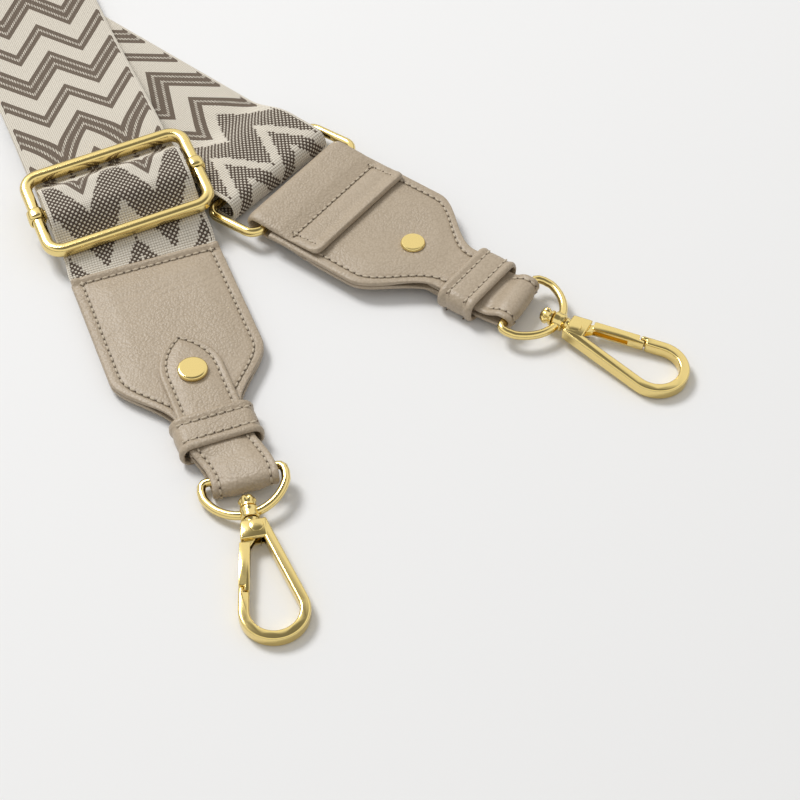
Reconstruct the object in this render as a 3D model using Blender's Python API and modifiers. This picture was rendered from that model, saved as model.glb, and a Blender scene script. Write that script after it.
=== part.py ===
"""Detachable bag strap: doubled webbing, a slider, a link ring and two leather ends with swivel hooks.

Metres, +Z up. The floor is z = 0 and the origin is the centre of the slider end's rivet back, on the
floor. Each leather end is modelled in its own frame: x from the rivet towards the hook, y across, z up
from the underside of the back leather. The ring end is the same assembly turned over.
"""
import math
from dataclasses import dataclass

import bmesh
import bpy
import numpy as np
from mathutils import Matrix, Vector

# Clearances
GAP = 0.0003
PIN_CLEARANCE = 0.0001
CUT_OVERRUN = 0.001

# Webbing
WEBBING_WIDTH = 0.054
WEBBING_THICKNESS = 0.0014
SEWN_END_LENGTH = 0.014
SEWN_LOOP_REACH = 0.031

# Route of the doubled strap on the floor
LEG_ONE_SKEW = math.radians(1.3)
LEG_TWO_SKEW = math.radians(-3.0)
LEG_PAST_CROSSING = 0.098
TWIST_LENGTH_ONE = 0.064
TWIST_LENGTH_TWO = 0.046
CROSSING_MARGIN = 0.0003
FOLD_RADIUS = 0.0046
FOLD_SQUEEZE = 0.0015
FOLD_SLACK = 0.0050
FOLD_TAPER_START = 0.012
FOLD_TAPER_END = 0.036
STRAP_STEP = 0.013
BEND_STEP = 0.0035
TWIST_STEP = 0.006
ARC_STEPS = 16

# Leather ends, measured from the rivet
LEATHER_THICKNESS = 0.0010
TAB_OVERHANG = 0.0006
TAB_WIDTH = WEBBING_WIDTH + TAB_OVERHANG * 2
TAB_LENGTH = 0.059
SHOULDER_BEFORE_RIVET = 0.008
SHOULDER_PAST_RIVET = 0.019
NECK_LENGTH = 0.034
FLAP_INSET = 0.0016
FLAP_WIDTH = TAB_WIDTH - FLAP_INSET * 2
FLAP_LENGTH = 0.0329
LEATHER_FOLD_TAKE_UP = 0.0031
LEATHER_FOLD_EXTREME = TAB_LENGTH - LEATHER_FOLD_TAKE_UP
RING_SLACK = 0.0037
BACK_LEATHER_INSET = 0.014

# Hook strap, with its pointed tongue
STRAP_WIDTH = 0.0225
STRAP_THICKNESS = 0.0014
NECK_OVERHANG = 0.00025
NECK_WIDTH = STRAP_WIDTH + NECK_OVERHANG * 2
STRAP_START_BEFORE_RIVET = 0.012
TONGUE_PAST_RIVET = 0.018
TONGUE_POINT_LENGTH = 0.017
TONGUE_TIP_WIDTH = 0.0012
TONGUE_FULLNESS = 0.75
STRAP_TURN_START = 0.034
STRAP_TURN_END = 0.0425

# Keeper
KEEPER_LENGTH = 0.0145
KEEPER_THICKNESS = 0.0012
KEEPER_SIDE_ROOM = 0.00195
KEEPER_INNER_WIDTH = STRAP_WIDTH + KEEPER_SIDE_ROOM * 2
KEEPER_CORNER = 0.0030

# Rivet
RIVET_CAP_RADIUS = 0.00525
RIVET_CAP_HEIGHT = 0.0020
RIVET_CAP_EDGE = 0.0007
RIVET_POST_RADIUS = 0.0016
RIVET_BACK_RADIUS = 0.0045
RIVET_BACK_HEIGHT = 0.0012

# Slider
SLIDER_DEPTH = 0.0424
SLIDER_FRAME_WIDTH = 0.0044
SLIDER_FRAME_HEIGHT = 0.0046
SLIDER_FRAME_EDGE = 0.0012
SLIDER_SIDE_ROOM = 0.00035
SLIDER_CORNER = 0.0080
SLIDER_FROM_TAB = 0.0311
SLIDER_HEIGHT = 0.0120
SLIDER_ROLL = math.radians(-4.0)
SLIDER_PITCH = math.radians(-3.4)
BAR_RADIUS = 0.00175
SLEEVE_WALL = 0.00075
SLEEVE_LENGTH = 0.0052
SLEEVE_BUILD_UP = GAP + SLEEVE_WALL
SLIDER_LENGTH = WEBBING_WIDTH + (SLIDER_SIDE_ROOM + SLEEVE_BUILD_UP + SLIDER_FRAME_WIDTH) * 2

# Link ring
RING_DEPTH = 0.0260
RING_WIRE_RADIUS = 0.00175
RING_SIDE_ROOM = 0.0020
RING_LENGTH = FLAP_WIDTH + (RING_SIDE_ROOM + RING_WIRE_RADIUS * 2) * 2
RING_CORNER = 0.0045
WEBBING_OFFSET_IN_RING = 0.0008

# D-ring
D_RING_SIDE_ROOM = 0.0038
D_RING_HALF_WIDTH = STRAP_WIDTH / 2 + D_RING_SIDE_ROOM
D_RING_DEPTH = 0.0165
D_RING_WIRE_RADIUS = 0.0015
D_RING_CORNER_SHARES = ((0.815, 0.0), (0.925, 0.08))
D_RING_ARC_START = 22
D_RING_ARC_STEPS = 10
BOSS_RADIUS = 0.0032
BOSS_LENGTH = 0.0040

# Swivel post
POST_RADIUS = 0.0015
CROWN_RADIUS = 0.00275
CROWN_TIP_RADIUS = 0.0019
CROWN_LENGTH = 0.0049
CROWN_TAPER = 0.0014
POST_IN_HOOK = 0.0016

# Hook, measured from its gate pin
PIN_FROM_D_RING_BAR = 0.0230
PIN_OFFSET = 0.0013
HOOK_THICKNESS = 0.0046
HOOK_SECTION_WIDTH = 0.0036
HOOK_EDGE = 0.0007
BLOCK_THICKNESS = 0.0052
BLOCK_BEFORE_PIN = 0.0028
BLOCK_PAST_PIN = 0.0042
BLOCK_TOP_GATE_SIDE = 0.0048
BLOCK_TOP_SPINE_SIDE = 0.0034
BLOCK_END_GATE_SIDE = 0.0060
BLOCK_END_SPINE_SIDE = 0.0030
NECK_RADIUS = 0.0026
SPINE_START = (-0.0030, 0.0018)
GATE_START = (0.0, -0.0038)
BOW_CENTRE = (0.0319, 0.0006)
BOW_RADIUS = 0.0097
BOW_STEPS = 14
NOTCH_FROM_PIN = 0.0222
NOTCH_STEP = 0.0020
NOTCH_GAP = 0.0004

# Gate, its pin and its spring
GATE_THICKNESS = 0.0038
GATE_WIDTH = 0.0036
GATE_ROOT_THICKNESS = 0.0026
GATE_ROOT_RADIUS = 0.00195
GATE_BAR_FROM_PIN = 0.0052
GATE_SLOT_CLEARANCE = 0.00015
GATE_CHANNEL_WIDTH = 0.0020
GATE_CHANNEL_FLOOR = 0.0011
GATE_CHANNEL_STOP = 0.0040
GATE_PIN_RADIUS = 0.00095
GATE_PIN_HEAD_RADIUS = 0.00215
GATE_PIN_HEAD_HEIGHT = 0.0003
SPRING_WIRE_RADIUS = 0.00016
SPRING_COIL_RADIUS = 0.00145
SPRING_PITCH = 0.00055
SPRING_TURN_STEPS = 2
SPRING_LEG = 0.0060
SPRING_POCKET_WIDTH = 0.0017
SPRING_POCKET_RADIUS = 0.0020

# Lie of the two ends on the floor
SLIDER_END_HEADING = math.radians(-69.0)
SLIDER_END_KEEPER_CENTRE = 0.0262
SLIDER_END_D_RING_BAR = 0.0468
SLIDER_END_STRAP_SLACK = 0.0035
SLIDER_END_D_RING_ROLL = math.radians(8.5)
SLIDER_END_HOOK_TURN = math.radians(-9.5)
SLIDER_END_HOOK_SHIFT = 0.0021
RING_END_RIVET_X = 0.0754
RING_END_RIVET_Y = 0.0606
RING_END_HEADING = math.radians(-36.9)
RING_END_KEEPER_CENTRE = 0.0285
RING_END_D_RING_BAR = 0.0458
RING_END_D_RING_DROP = 0.0018
RING_END_HOOK_TURN = math.radians(-7.5)
RING_END_HOOK_SHIFT = -0.0003

# Fineness
ROUND_STEPS = 16
WIRE_STEPS = 2


@dataclass(frozen=True)
class End:
    """One leather end: where its rivet is, where it points and how its hook hangs."""

    name: str
    rivet: tuple
    heading: float
    turned_over: bool
    keeper_centre: float
    d_ring_bar: float
    strap_slack: float
    d_ring_drop: float
    d_ring_roll: float
    hook_turn: float
    hook_shift: float


SLIDER_END = End(
    name="slider_end",
    rivet=(0, 0),
    heading=SLIDER_END_HEADING,
    turned_over=False,
    keeper_centre=SLIDER_END_KEEPER_CENTRE,
    d_ring_bar=SLIDER_END_D_RING_BAR,
    strap_slack=SLIDER_END_STRAP_SLACK,
    d_ring_drop=0,
    d_ring_roll=SLIDER_END_D_RING_ROLL,
    hook_turn=SLIDER_END_HOOK_TURN,
    hook_shift=SLIDER_END_HOOK_SHIFT,
)
RING_END = End(
    name="ring_end",
    rivet=(RING_END_RIVET_X, RING_END_RIVET_Y),
    heading=RING_END_HEADING,
    turned_over=True,
    keeper_centre=RING_END_KEEPER_CENTRE,
    d_ring_bar=RING_END_D_RING_BAR,
    strap_slack=0,
    d_ring_drop=RING_END_D_RING_DROP,
    d_ring_roll=0,
    hook_turn=RING_END_HOOK_TURN,
    hook_shift=RING_END_HOOK_SHIFT,
)

# Levels inside a leather end, from the underside of the back leather
CORE_THICKNESS = max(WEBBING_THICKNESS, STRAP_THICKNESS)
BACK_LEVEL = LEATHER_THICKNESS / 2
CORE_LEVEL = LEATHER_THICKNESS + GAP + CORE_THICKNESS / 2
FRONT_LEVEL = LEATHER_THICKNESS * 1.5 + GAP * 2 + CORE_THICKNESS
TONGUE_LEVEL = FRONT_LEVEL + LEATHER_THICKNESS / 2 + GAP + STRAP_THICKNESS / 2
STACK_TOP = TONGUE_LEVEL + STRAP_THICKNESS / 2
FLAP_LEVEL = -GAP - LEATHER_THICKNESS / 2
REST_BELOW = GAP + max(KEEPER_THICKNESS, RIVET_BACK_HEIGHT)
REST_ABOVE = STACK_TOP + GAP + max(KEEPER_THICKNESS, RIVET_CAP_HEIGHT)

# Folds of the leather
D_RING_BAR_ROOM = D_RING_WIRE_RADIUS + GAP + STRAP_THICKNESS / 2
STRAP_MIDDLE_LEVEL = (CORE_LEVEL + TONGUE_LEVEL) / 2
LINK_BAR_ROOM = RING_WIRE_RADIUS + GAP * 1.2 + LEATHER_THICKNESS / 2
LEATHER_FOLD_X = -LEATHER_FOLD_EXTREME + LINK_BAR_ROOM + LEATHER_THICKNESS / 2
LEATHER_FOLD_Z = (FRONT_LEVEL + FLAP_LEVEL) / 2
LINK_BAR_X = LEATHER_FOLD_X + RING_SLACK

# Slider, in its own frame: x up the strap, y across, z off the floor
HALF_SPAN = (SLIDER_DEPTH - SLIDER_FRAME_WIDTH) / 2
LAYER_PITCH = WEBBING_THICKNESS + GAP
UNDER_BAR = -(SLIDER_FRAME_HEIGHT / 2 + GAP + WEBBING_THICKNESS / 2)
BAR_LOOP_RADIUS = BAR_RADIUS + GAP + WEBBING_THICKNESS / 2
LOOSE_PITCH = LAYER_PITCH + GAP * 0.6
OVER_BAR = BAR_LOOP_RADIUS + LOOSE_PITCH
FRAME_EDGE = SLIDER_DEPTH / 2
OVER_BAR_REACH = FRAME_EDGE - SLIDER_FRAME_WIDTH - GAP * 2

# Doubled webbing
STACK = WEBBING_THICKNESS * 2 + GAP
CROSSING_FRONT_LEVEL = STACK + GAP + CROSSING_MARGIN + WEBBING_THICKNESS * 1.5 + GAP


def turned(angle):
    """Unit vector on the floor at an angle from +X."""
    return Vector((math.cos(angle), math.sin(angle), 0))


def left_of(angle):
    """Unit vector on the floor to the left of a heading."""
    return turned(angle + math.pi / 2)


def eased(value, start, end):
    """0 before start, 1 after end and smooth between them."""
    share = min(max((value - start) / (end - start), 0), 1)
    return share * share * (3 - 2 * share)


def end_matrix(end):
    """Places a leather end's own frame in the world."""
    height = REST_ABOVE if end.turned_over else REST_BELOW
    flip = Matrix.Rotation(math.pi if end.turned_over else 0, 4, "X")
    place = Matrix.Translation((*end.rivet, height))
    return place @ Matrix.Rotation(end.heading, 4, "Z") @ flip


def bar_level(end):
    """Level of the D-ring's bar in its end's frame."""
    return STRAP_MIDDLE_LEVEL - end.d_ring_drop


def hook_matrix(end):
    """Places a hook's frame in its end's frame: on the D-ring's bar, tipped until the bow is down."""
    height = REST_ABOVE - bar_level(end) if end.turned_over else REST_BELOW + bar_level(end)
    reach = PIN_FROM_D_RING_BAR + BOW_CENTRE[0] + BOW_RADIUS + HOOK_SECTION_WIDTH / 2
    tip = math.asin((height - HOOK_THICKNESS / 2) / reach) * (-1 if end.turned_over else 1)
    place = Matrix.Translation((end.d_ring_bar, end.hook_shift, bar_level(end)))
    return place @ Matrix.Rotation(end.hook_turn, 4, "Z") @ Matrix.Rotation(tip, 4, "Y")


# Floor plan of the strap: leg one leaves the slider end, leg two comes back to the link ring
TAB_EDGE = end_matrix(SLIDER_END) @ Vector((-TAB_LENGTH, 0, CORE_LEVEL))
LEG_ONE = SLIDER_END.heading + math.pi + LEG_ONE_SKEW
RING_WAY = RING_END.heading + math.pi
LEG_TWO = RING_WAY + LEG_TWO_SKEW
LINK_BAR = end_matrix(RING_END) @ Vector((LINK_BAR_X, 0, LEATHER_FOLD_Z))
WEBBING_BAR_HEIGHT = WEBBING_THICKNESS / 2 + FOLD_RADIUS
RING_SPAN = RING_DEPTH - RING_WIRE_RADIUS * 2
RING_RISE = math.asin((LINK_BAR.z - WEBBING_BAR_HEIGHT) / RING_SPAN)
WEBBING_BAR = LINK_BAR + turned(RING_WAY) * (RING_SPAN * math.cos(RING_RISE))
WEBBING_BAR.z = WEBBING_BAR_HEIGHT
FOLD_CENTRE = WEBBING_BAR - turned(RING_WAY) * FOLD_SLACK - left_of(RING_WAY) * WEBBING_OFFSET_IN_RING


def crossing():
    """How far along each leg the two centre lines cross."""
    one, two = turned(LEG_ONE), turned(LEG_TWO)
    apart = FOLD_CENTRE - TAB_EDGE
    turn = one.x * two.y - one.y * two.x
    return (apart.x * two.y - apart.y * two.x) / turn, (apart.x * one.y - apart.y * one.x) / turn


CROSS_ONE, CROSS_TWO = crossing()
HALF_ANGLE = (LEG_TWO - LEG_ONE) / 2
ARC_RADIUS = LEG_PAST_CROSSING * math.tan(HALF_ANGLE)
ARC_TURN = math.pi + 2 * HALF_ANGLE
LEG_ONE_END = CROSS_ONE + LEG_PAST_CROSSING
ARC_END = LEG_ONE_END + ARC_RADIUS * ARC_TURN
ROUTE_LENGTH = ARC_END + LEG_PAST_CROSSING + CROSS_TWO


def slider_matrix():
    """Places the slider's frame: raised, rolled and pitched as the webbing under it is."""
    centre = TAB_EDGE + turned(LEG_ONE) * SLIDER_FROM_TAB
    centre.z = SLIDER_HEIGHT
    roll = Matrix.Rotation(SLIDER_ROLL, 4, "X")
    pitch = Matrix.Rotation(SLIDER_PITCH, 4, "Y")
    return Matrix.Translation(centre) @ Matrix.Rotation(LEG_ONE, 4, "Z") @ pitch @ roll


def fold_share(along):
    """How far the doubled strap has opened towards its fold in the link ring, 0 to 1."""
    return 1 - eased(ROUTE_LENGTH - along, FOLD_TAPER_START, FOLD_TAPER_END)


def layer_spread(along):
    """Distance between the two layers' centres at a distance along the route."""
    loop_end = SLIDER_FROM_TAB + SEWN_LOOP_REACH
    near_slider = 1 - eased(along, loop_end, loop_end + SEWN_LOOP_REACH * 0.7)
    spread = LAYER_PITCH + (2 * LOOSE_PITCH - LAYER_PITCH) * near_slider
    return spread + (2 * FOLD_RADIUS - LAYER_PITCH) * fold_share(along)


def half_width(along):
    """Half width of the webbing, which is squeezed a little where it folds in the link ring."""
    return WEBBING_WIDTH / 2 - FOLD_SQUEEZE * fold_share(along)


def front_level(along):
    """Height of the front layer on leg one, from the slider down to the crossing."""
    leaves = slider_matrix() @ Vector((FRAME_EDGE, 0, UNDER_BAR))
    settles = eased(along, SLIDER_FROM_TAB + FRAME_EDGE, CROSS_ONE)
    return leaves.z + (CROSSING_FRONT_LEVEL - leaves.z) * settles


def route_frame(along):
    """Centre between the layers and across direction of the doubled strap at a distance along it."""
    if along < LEG_ONE_END:
        heading = LEG_ONE
        place = TAB_EDGE + turned(heading) * along
    elif along < ARC_END:
        turn = (along - LEG_ONE_END) / ARC_RADIUS
        heading = LEG_ONE + turn
        middle = TAB_EDGE + turned(LEG_ONE) * LEG_ONE_END + left_of(LEG_ONE) * ARC_RADIUS
        place = middle - left_of(heading) * ARC_RADIUS
    else:
        heading = LEG_TWO + math.pi
        place = FOLD_CENTRE - turned(heading) * (ROUTE_LENGTH - along)
    spread = layer_spread(along)
    quarter = math.pi / 2
    twist = quarter * eased(along, LEG_ONE_END - TWIST_LENGTH_ONE, LEG_ONE_END)
    twist += quarter * eased(along, ARC_END, ARC_END + TWIST_LENGTH_TWO)
    lying = WEBBING_THICKNESS / 2 + spread / 2
    if along < LEG_ONE_END:
        lying = front_level(along) - spread / 2
    roll = twist + SLIDER_ROLL * (1 - eased(along, SLIDER_FROM_TAB + FRAME_EDGE, CROSS_ONE))
    place.z = lying * abs(math.cos(twist)) + WEBBING_WIDTH / 2 * math.sin(twist)
    up = Vector((0, 0, 1))
    return place, left_of(heading) * math.cos(roll) + up * math.sin(roll)


def route_distances():
    """Distances along the route at which the doubled strap gets its rings of points."""
    marks = [SLIDER_FROM_TAB + HALF_SPAN + SLIDER_FRAME_WIDTH]
    stops = (
        (CROSS_ONE, STRAP_STEP),
        (LEG_ONE_END - TWIST_LENGTH_ONE, STRAP_STEP),
        (LEG_ONE_END, TWIST_STEP),
        (ARC_END, ARC_RADIUS * ARC_TURN / ARC_STEPS),
        (ARC_END + TWIST_LENGTH_TWO, TWIST_STEP),
        (ROUTE_LENGTH - FOLD_TAPER_END, STRAP_STEP),
        (ROUTE_LENGTH, BEND_STEP),
    )
    for stop, step in stops:
        start = marks[-1]
        count = max(1, round((stop - start) / step))
        marks += [start + (stop - start) * index / count for index in range(1, count + 1)]
    return marks


def smooth_path(stations, step):
    """Stations on a smooth curve through the given ones, about a step apart."""
    rows = np.array([[*point, *across, half] for point, across, half in stations])
    chords = np.linalg.norm(np.diff(rows[:, :3], axis=0), axis=1)
    places = np.concatenate(([0], np.cumsum(chords)))
    slopes = np.gradient(rows, places, axis=0)
    out = []
    for index, chord in enumerate(chords):
        count = max(1, round(chord / step))
        for share in (part / count for part in range(count)):
            rise = share * share * (3 - 2 * share)
            lead = share * (1 - share) ** 2 * chord
            trail = -share * share * (1 - share) * chord
            row = rows[index] * (1 - rise) + rows[index + 1] * rise
            out.append(row + slopes[index] * lead + slopes[index + 1] * trail)
    out.append(rows[-1])
    return [(Vector(row[:3]), Vector(row[3:6]).normalized(), float(row[6])) for row in out]


def over_bar_curve(x):
    """Point and normal of the front layer in the slider's frame: under, over and under the bars."""
    rise = OVER_BAR - UNDER_BAR
    turn = math.pi * min(max(x / OVER_BAR_REACH, -1), 1)
    point = Vector((x, 0, UNDER_BAR + rise * (1 + math.cos(turn)) / 2))
    slope = -rise * math.pi / OVER_BAR_REACH * math.sin(turn) / 2
    return point, Vector((-slope, 0, 1)).normalized()


def webbing_stations():
    """The one strip of webbing, from the slider end's leather to its sewn loop on the slider's bar."""
    half = WEBBING_WIDTH / 2
    slider = slider_matrix()
    level = left_of(LEG_ONE)
    tilted = (slider.to_3x3() @ Vector((0, 1, 0))).normalized()
    sewn_in = (SEWN_END_LENGTH, SEWN_END_LENGTH / 2, 0)
    entry = [(TAB_EDGE - turned(LEG_ONE) * back, level, half) for back in sewn_in]
    shares = (-1, -0.8, -0.6, -0.4, -0.2, 0, 0.2, 0.4, 0.6, 0.8, 1)
    places = [-FRAME_EDGE, *(OVER_BAR_REACH * share for share in shares), FRAME_EDGE]
    over = [(slider @ over_bar_curve(x)[0], tilted, half) for x in places]

    marks = route_distances()
    outward, inward = [], []
    frames = [route_frame(along) for along in marks]
    last = len(frames) - 1
    for index, (place, across) in enumerate(frames):
        way = frames[min(index + 1, last)][0] - frames[max(index - 1, 0)][0]
        offset = way.cross(across).normalized() * layer_spread(marks[index]) / 2
        outward.append((place + offset, across, half_width(marks[index])))
        inward.append((place - offset, across, half_width(marks[index])))
    start = smooth_path(entry + over + outward[:2], BEND_STEP)

    fold = []
    inwards = turned(LEG_TWO + math.pi)
    steps = 8
    for index in range(1, steps):
        angle = math.pi * index / steps - math.pi / 2
        bend = inwards * math.cos(angle) + Vector((0, 0, 1)) * math.sin(angle)
        fold.append((FOLD_CENTRE + bend * FOLD_RADIUS, outward[-1][1], half_width(ROUTE_LENGTH)))

    def below(share, layers):
        point, normal = over_bar_curve(OVER_BAR_REACH * share)
        return slider @ (point - normal * LOOSE_PITCH * layers), tilted, half

    under = [below(share, 2) for share in (FRAME_EDGE / OVER_BAR_REACH, 1, 0.8)]
    loop = []
    for degrees in (-60, -95, -130, -165, -200, -235, -265):
        turn = math.radians(degrees)
        ring = Vector((math.cos(turn), 0, math.sin(turn))) * BAR_LOOP_RADIUS
        loop.append((slider @ ring, tilted, half))
    sewn = [below(share, 1) for share in (0.15, 0.35, 0.55, 0.75, 1, FRAME_EDGE / OVER_BAR_REACH)]
    tail = []
    for along in (SLIDER_FROM_TAB + SEWN_LOOP_REACH * share for share in (0.8, 1)):
        place, across = route_frame(along)
        tail.append((place, across, half))
    finish = smooth_path(inward[1::-1] + under + loop + sewn + tail, BEND_STEP)
    going = start[:-1] + outward[1:] + fold
    return going + inward[:1:-1] + finish, len(going)


def ribbon_mesh(name, stations, thickness, doubles_back=0):
    """Closed strip through stations of (point, across, half width).

    Its quads are split along one diagonal, and along the other one after the station where the strip
    doubles back, so that two layers that lie together are faceted alike.
    """
    build = bmesh.new()
    rings = []
    last = len(stations) - 1
    for index, (point, across, half) in enumerate(stations):
        along = stations[min(index + 1, last)][0] - stations[max(index - 1, 0)][0]
        up = along.cross(across).normalized() * thickness / 2
        side = across * half
        corners = (side + up, up - side, -side - up, side - up)
        rings.append([build.verts.new(point + corner) for corner in corners])
    for number, (one, two) in enumerate(zip(rings, rings[1:])):
        for index in range(4):
            follow = (index + 1) % 4
            if (index == 0) == (number >= doubles_back):
                build.faces.new((one[index], one[follow], two[follow]))
                build.faces.new((one[index], two[follow], two[index]))
            else:
                build.faces.new((one[index], one[follow], two[index]))
                build.faces.new((one[follow], two[follow], two[index]))
    build.faces.new(reversed(rings[0]))
    build.faces.new(rings[-1])
    mesh = bpy.data.meshes.new(name)
    build.to_mesh(mesh)
    build.free()
    return mesh


def material(name, colour, roughness, metallic):
    """Principled material of one colour."""
    made = bpy.data.materials.new(name)
    made.use_nodes = True
    shader = made.node_tree.nodes["Principled BSDF"]
    shader.inputs["Base Color"].default_value = (*colour, 1)
    shader.inputs["Roughness"].default_value = roughness
    shader.inputs["Metallic"].default_value = metallic
    return made


def clear_scene():
    """Removes every object."""
    for thing in list(bpy.data.objects):
        bpy.data.objects.remove(thing)


def new_collection(name):
    """Collection linked to the scene."""
    made = bpy.data.collections.new(name)
    bpy.context.scene.collection.children.link(made)
    return made


class Workshop:
    """Holds the collections and materials, and makes the objects."""

    def __init__(self):
        self.parts = new_collection("detachable_bag_strap")
        self.cutters = new_collection("cutters")
        self.gold = material("polished_gold", (0.83, 0.66, 0.30), 0.16, 1.0)
        self.leather = material("taupe_grained_leather", (0.50, 0.41, 0.32), 0.55, 0.0)
        self.lining = material("taupe_smooth_leather", (0.46, 0.38, 0.30), 0.6, 0.0)
        self.weave = material("jacquard_webbing", (0.62, 0.55, 0.46), 0.85, 0.0)
        self.steel = material("spring_steel", (0.60, 0.60, 0.62), 0.3, 1.0)

    def frame(self, name, matrix, parent=None):
        """Empty that carries pieces by a matrix under its parent."""
        empty = bpy.data.objects.new(name, None)
        self.parts.objects.link(empty)
        empty.parent = parent
        empty.matrix_local = matrix
        return empty

    def piece(self, mesh, parent, finish, matrix=None):
        """Visible solid from a mesh, named as its mesh is."""
        made = bpy.data.objects.new(mesh.name, mesh)
        self.parts.objects.link(made)
        made.data.materials.clear()
        made.data.materials.append(finish)
        made.parent = parent
        if matrix is not None:
            made.matrix_local = matrix
        return made

    def cutter(self, mesh, parent, matrix=None):
        """Hidden solid that a Boolean uses."""
        made = bpy.data.objects.new(mesh.name, mesh)
        self.cutters.objects.link(made)
        made.parent = parent
        made.hide_render = True
        made.display_type = "WIRE"
        if matrix is not None:
            made.matrix_local = matrix
        return made


def use(target, tool, operation):
    """Adds an exact Boolean."""
    step = target.modifiers.new(operation.lower(), "BOOLEAN")
    step.operation = operation
    step.solver = "EXACT"
    step.object = tool


def round_edges(target, width, segments=2):
    """Rounds the sharp edges."""
    bevel = target.modifiers.new("edges", "BEVEL")
    bevel.width = width
    bevel.segments = segments
    bevel.limit_method = "ANGLE"
    bevel.angle_limit = math.radians(50)


def smooth_shade(mesh):
    """Smooth shading with sharp creases."""
    mesh.shade_smooth()
    mesh.set_sharp_from_angle(angle=math.radians(40))


def cylinder_mesh(name, radius, length, sides=ROUND_STEPS):
    """Cylinder along z, centred."""
    build = bmesh.new()
    bmesh.ops.create_cone(
        build, cap_ends=True, segments=sides, radius1=radius, radius2=radius, depth=length
    )
    mesh = bpy.data.meshes.new(name)
    build.to_mesh(mesh)
    build.free()
    smooth_shade(mesh)
    return mesh


def box_mesh(name, size):
    """Box of a size, centred."""
    build = bmesh.new()
    bmesh.ops.create_cube(build, size=1)
    bmesh.ops.scale(build, vec=size, verts=build.verts)
    mesh = bpy.data.meshes.new(name)
    build.to_mesh(mesh)
    build.free()
    return mesh


def curve_mesh(name, curve):
    """Welded mesh of a curve."""
    holder = bpy.data.objects.new(name + "_curve", curve)
    bpy.context.scene.collection.objects.link(holder)
    graph = bpy.context.evaluated_depsgraph_get()
    mesh = bpy.data.meshes.new_from_object(holder.evaluated_get(graph))
    bpy.data.objects.remove(holder)
    bpy.data.curves.remove(curve)
    build = bmesh.new()
    build.from_mesh(mesh)
    bmesh.ops.remove_doubles(build, verts=build.verts, dist=GAP / 100)
    build.to_mesh(mesh)
    build.free()
    mesh.name = name
    return mesh


def wire_mesh(name, points, radius, closed, resolution=WIRE_STEPS):
    """Round wire through points."""
    curve = bpy.data.curves.new(name, "CURVE")
    curve.dimensions = "3D"
    curve.bevel_depth = radius
    curve.bevel_resolution = resolution
    curve.use_fill_caps = not closed
    line = curve.splines.new("POLY")
    line.points.add(len(points) - 1)
    for slot, point in zip(line.points, points):
        slot.co = (*point, 1)
    line.use_cyclic_u = closed
    mesh = curve_mesh(name, curve)
    smooth_shade(mesh)
    return mesh


def plate_mesh(name, outlines, thickness):
    """Flat plate from closed outlines, centred on z = 0; a second outline is a hole."""
    curve = bpy.data.curves.new(name, "CURVE")
    curve.dimensions = "2D"
    curve.fill_mode = "BOTH"
    curve.extrude = thickness / 2
    for outline in outlines:
        line = curve.splines.new("POLY")
        line.points.add(len(outline) - 1)
        for slot, point in zip(line.points, outline):
            slot.co = (*point, 0, 1)
        line.use_cyclic_u = True
    return curve_mesh(name, curve)


def rounded_rectangle(length, depth, corner, steps=4):
    """Points of a rectangle with round corners, length along y and depth along x."""
    points = []
    for quarter in range(4):
        side_x = 1 if quarter in (0, 3) else -1
        side_y = 1 if quarter in (0, 1) else -1
        middle = (side_x * (depth / 2 - corner), side_y * (length / 2 - corner))
        for index in range(steps + 1):
            turn = math.pi / 2 * (quarter + index / steps)
            points.append((middle[0] + corner * math.cos(turn), middle[1] + corner * math.sin(turn)))
    return points


def turned_mesh(name, profile):
    """Solid turned about x from a closed-ended profile of (x, radius), in rising x."""
    build = bmesh.new()
    rings = []
    for x, radius in profile:
        ring = []
        for index in range(ROUND_STEPS):
            turn = 2 * math.pi * index / ROUND_STEPS
            ring.append(build.verts.new((x, radius * math.cos(turn), radius * math.sin(turn))))
        rings.append(ring)
    for one, two in zip(rings, rings[1:]):
        for index in range(ROUND_STEPS):
            follow = (index + 1) % ROUND_STEPS
            build.faces.new((one[index], one[follow], two[follow], two[index]))
    build.faces.new(reversed(rings[0]))
    build.faces.new(rings[-1])
    bmesh.ops.recalc_face_normals(build, faces=build.faces)
    mesh = bpy.data.meshes.new(name)
    build.to_mesh(mesh)
    build.free()
    smooth_shade(mesh)
    return mesh


ALONG_X = Matrix.Rotation(math.pi / 2, 4, "Y")
ALONG_Y = Matrix.Rotation(math.pi / 2, 4, "X")


def tab_half_width(x):
    """Half width of the leather panels: straight tab, sloping shoulders, narrow neck."""
    narrowing = (TAB_WIDTH - NECK_WIDTH) / 2
    return TAB_WIDTH / 2 - narrowing * eased(x, -SHOULDER_BEFORE_RIVET, SHOULDER_PAST_RIVET)


def panel_stations(start, level):
    """Stations of a flat leather panel from its strap-side edge to the end of its neck."""
    across = Vector((0, 1, 0))
    shoulder = SHOULDER_BEFORE_RIVET + SHOULDER_PAST_RIVET
    steps = 12
    places = [start] + [shoulder * index / steps - SHOULDER_BEFORE_RIVET for index in range(steps + 1)]
    places.append(NECK_LENGTH)
    return [(Vector((x, 0, level)), across, tab_half_width(x)) for x in places]


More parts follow.
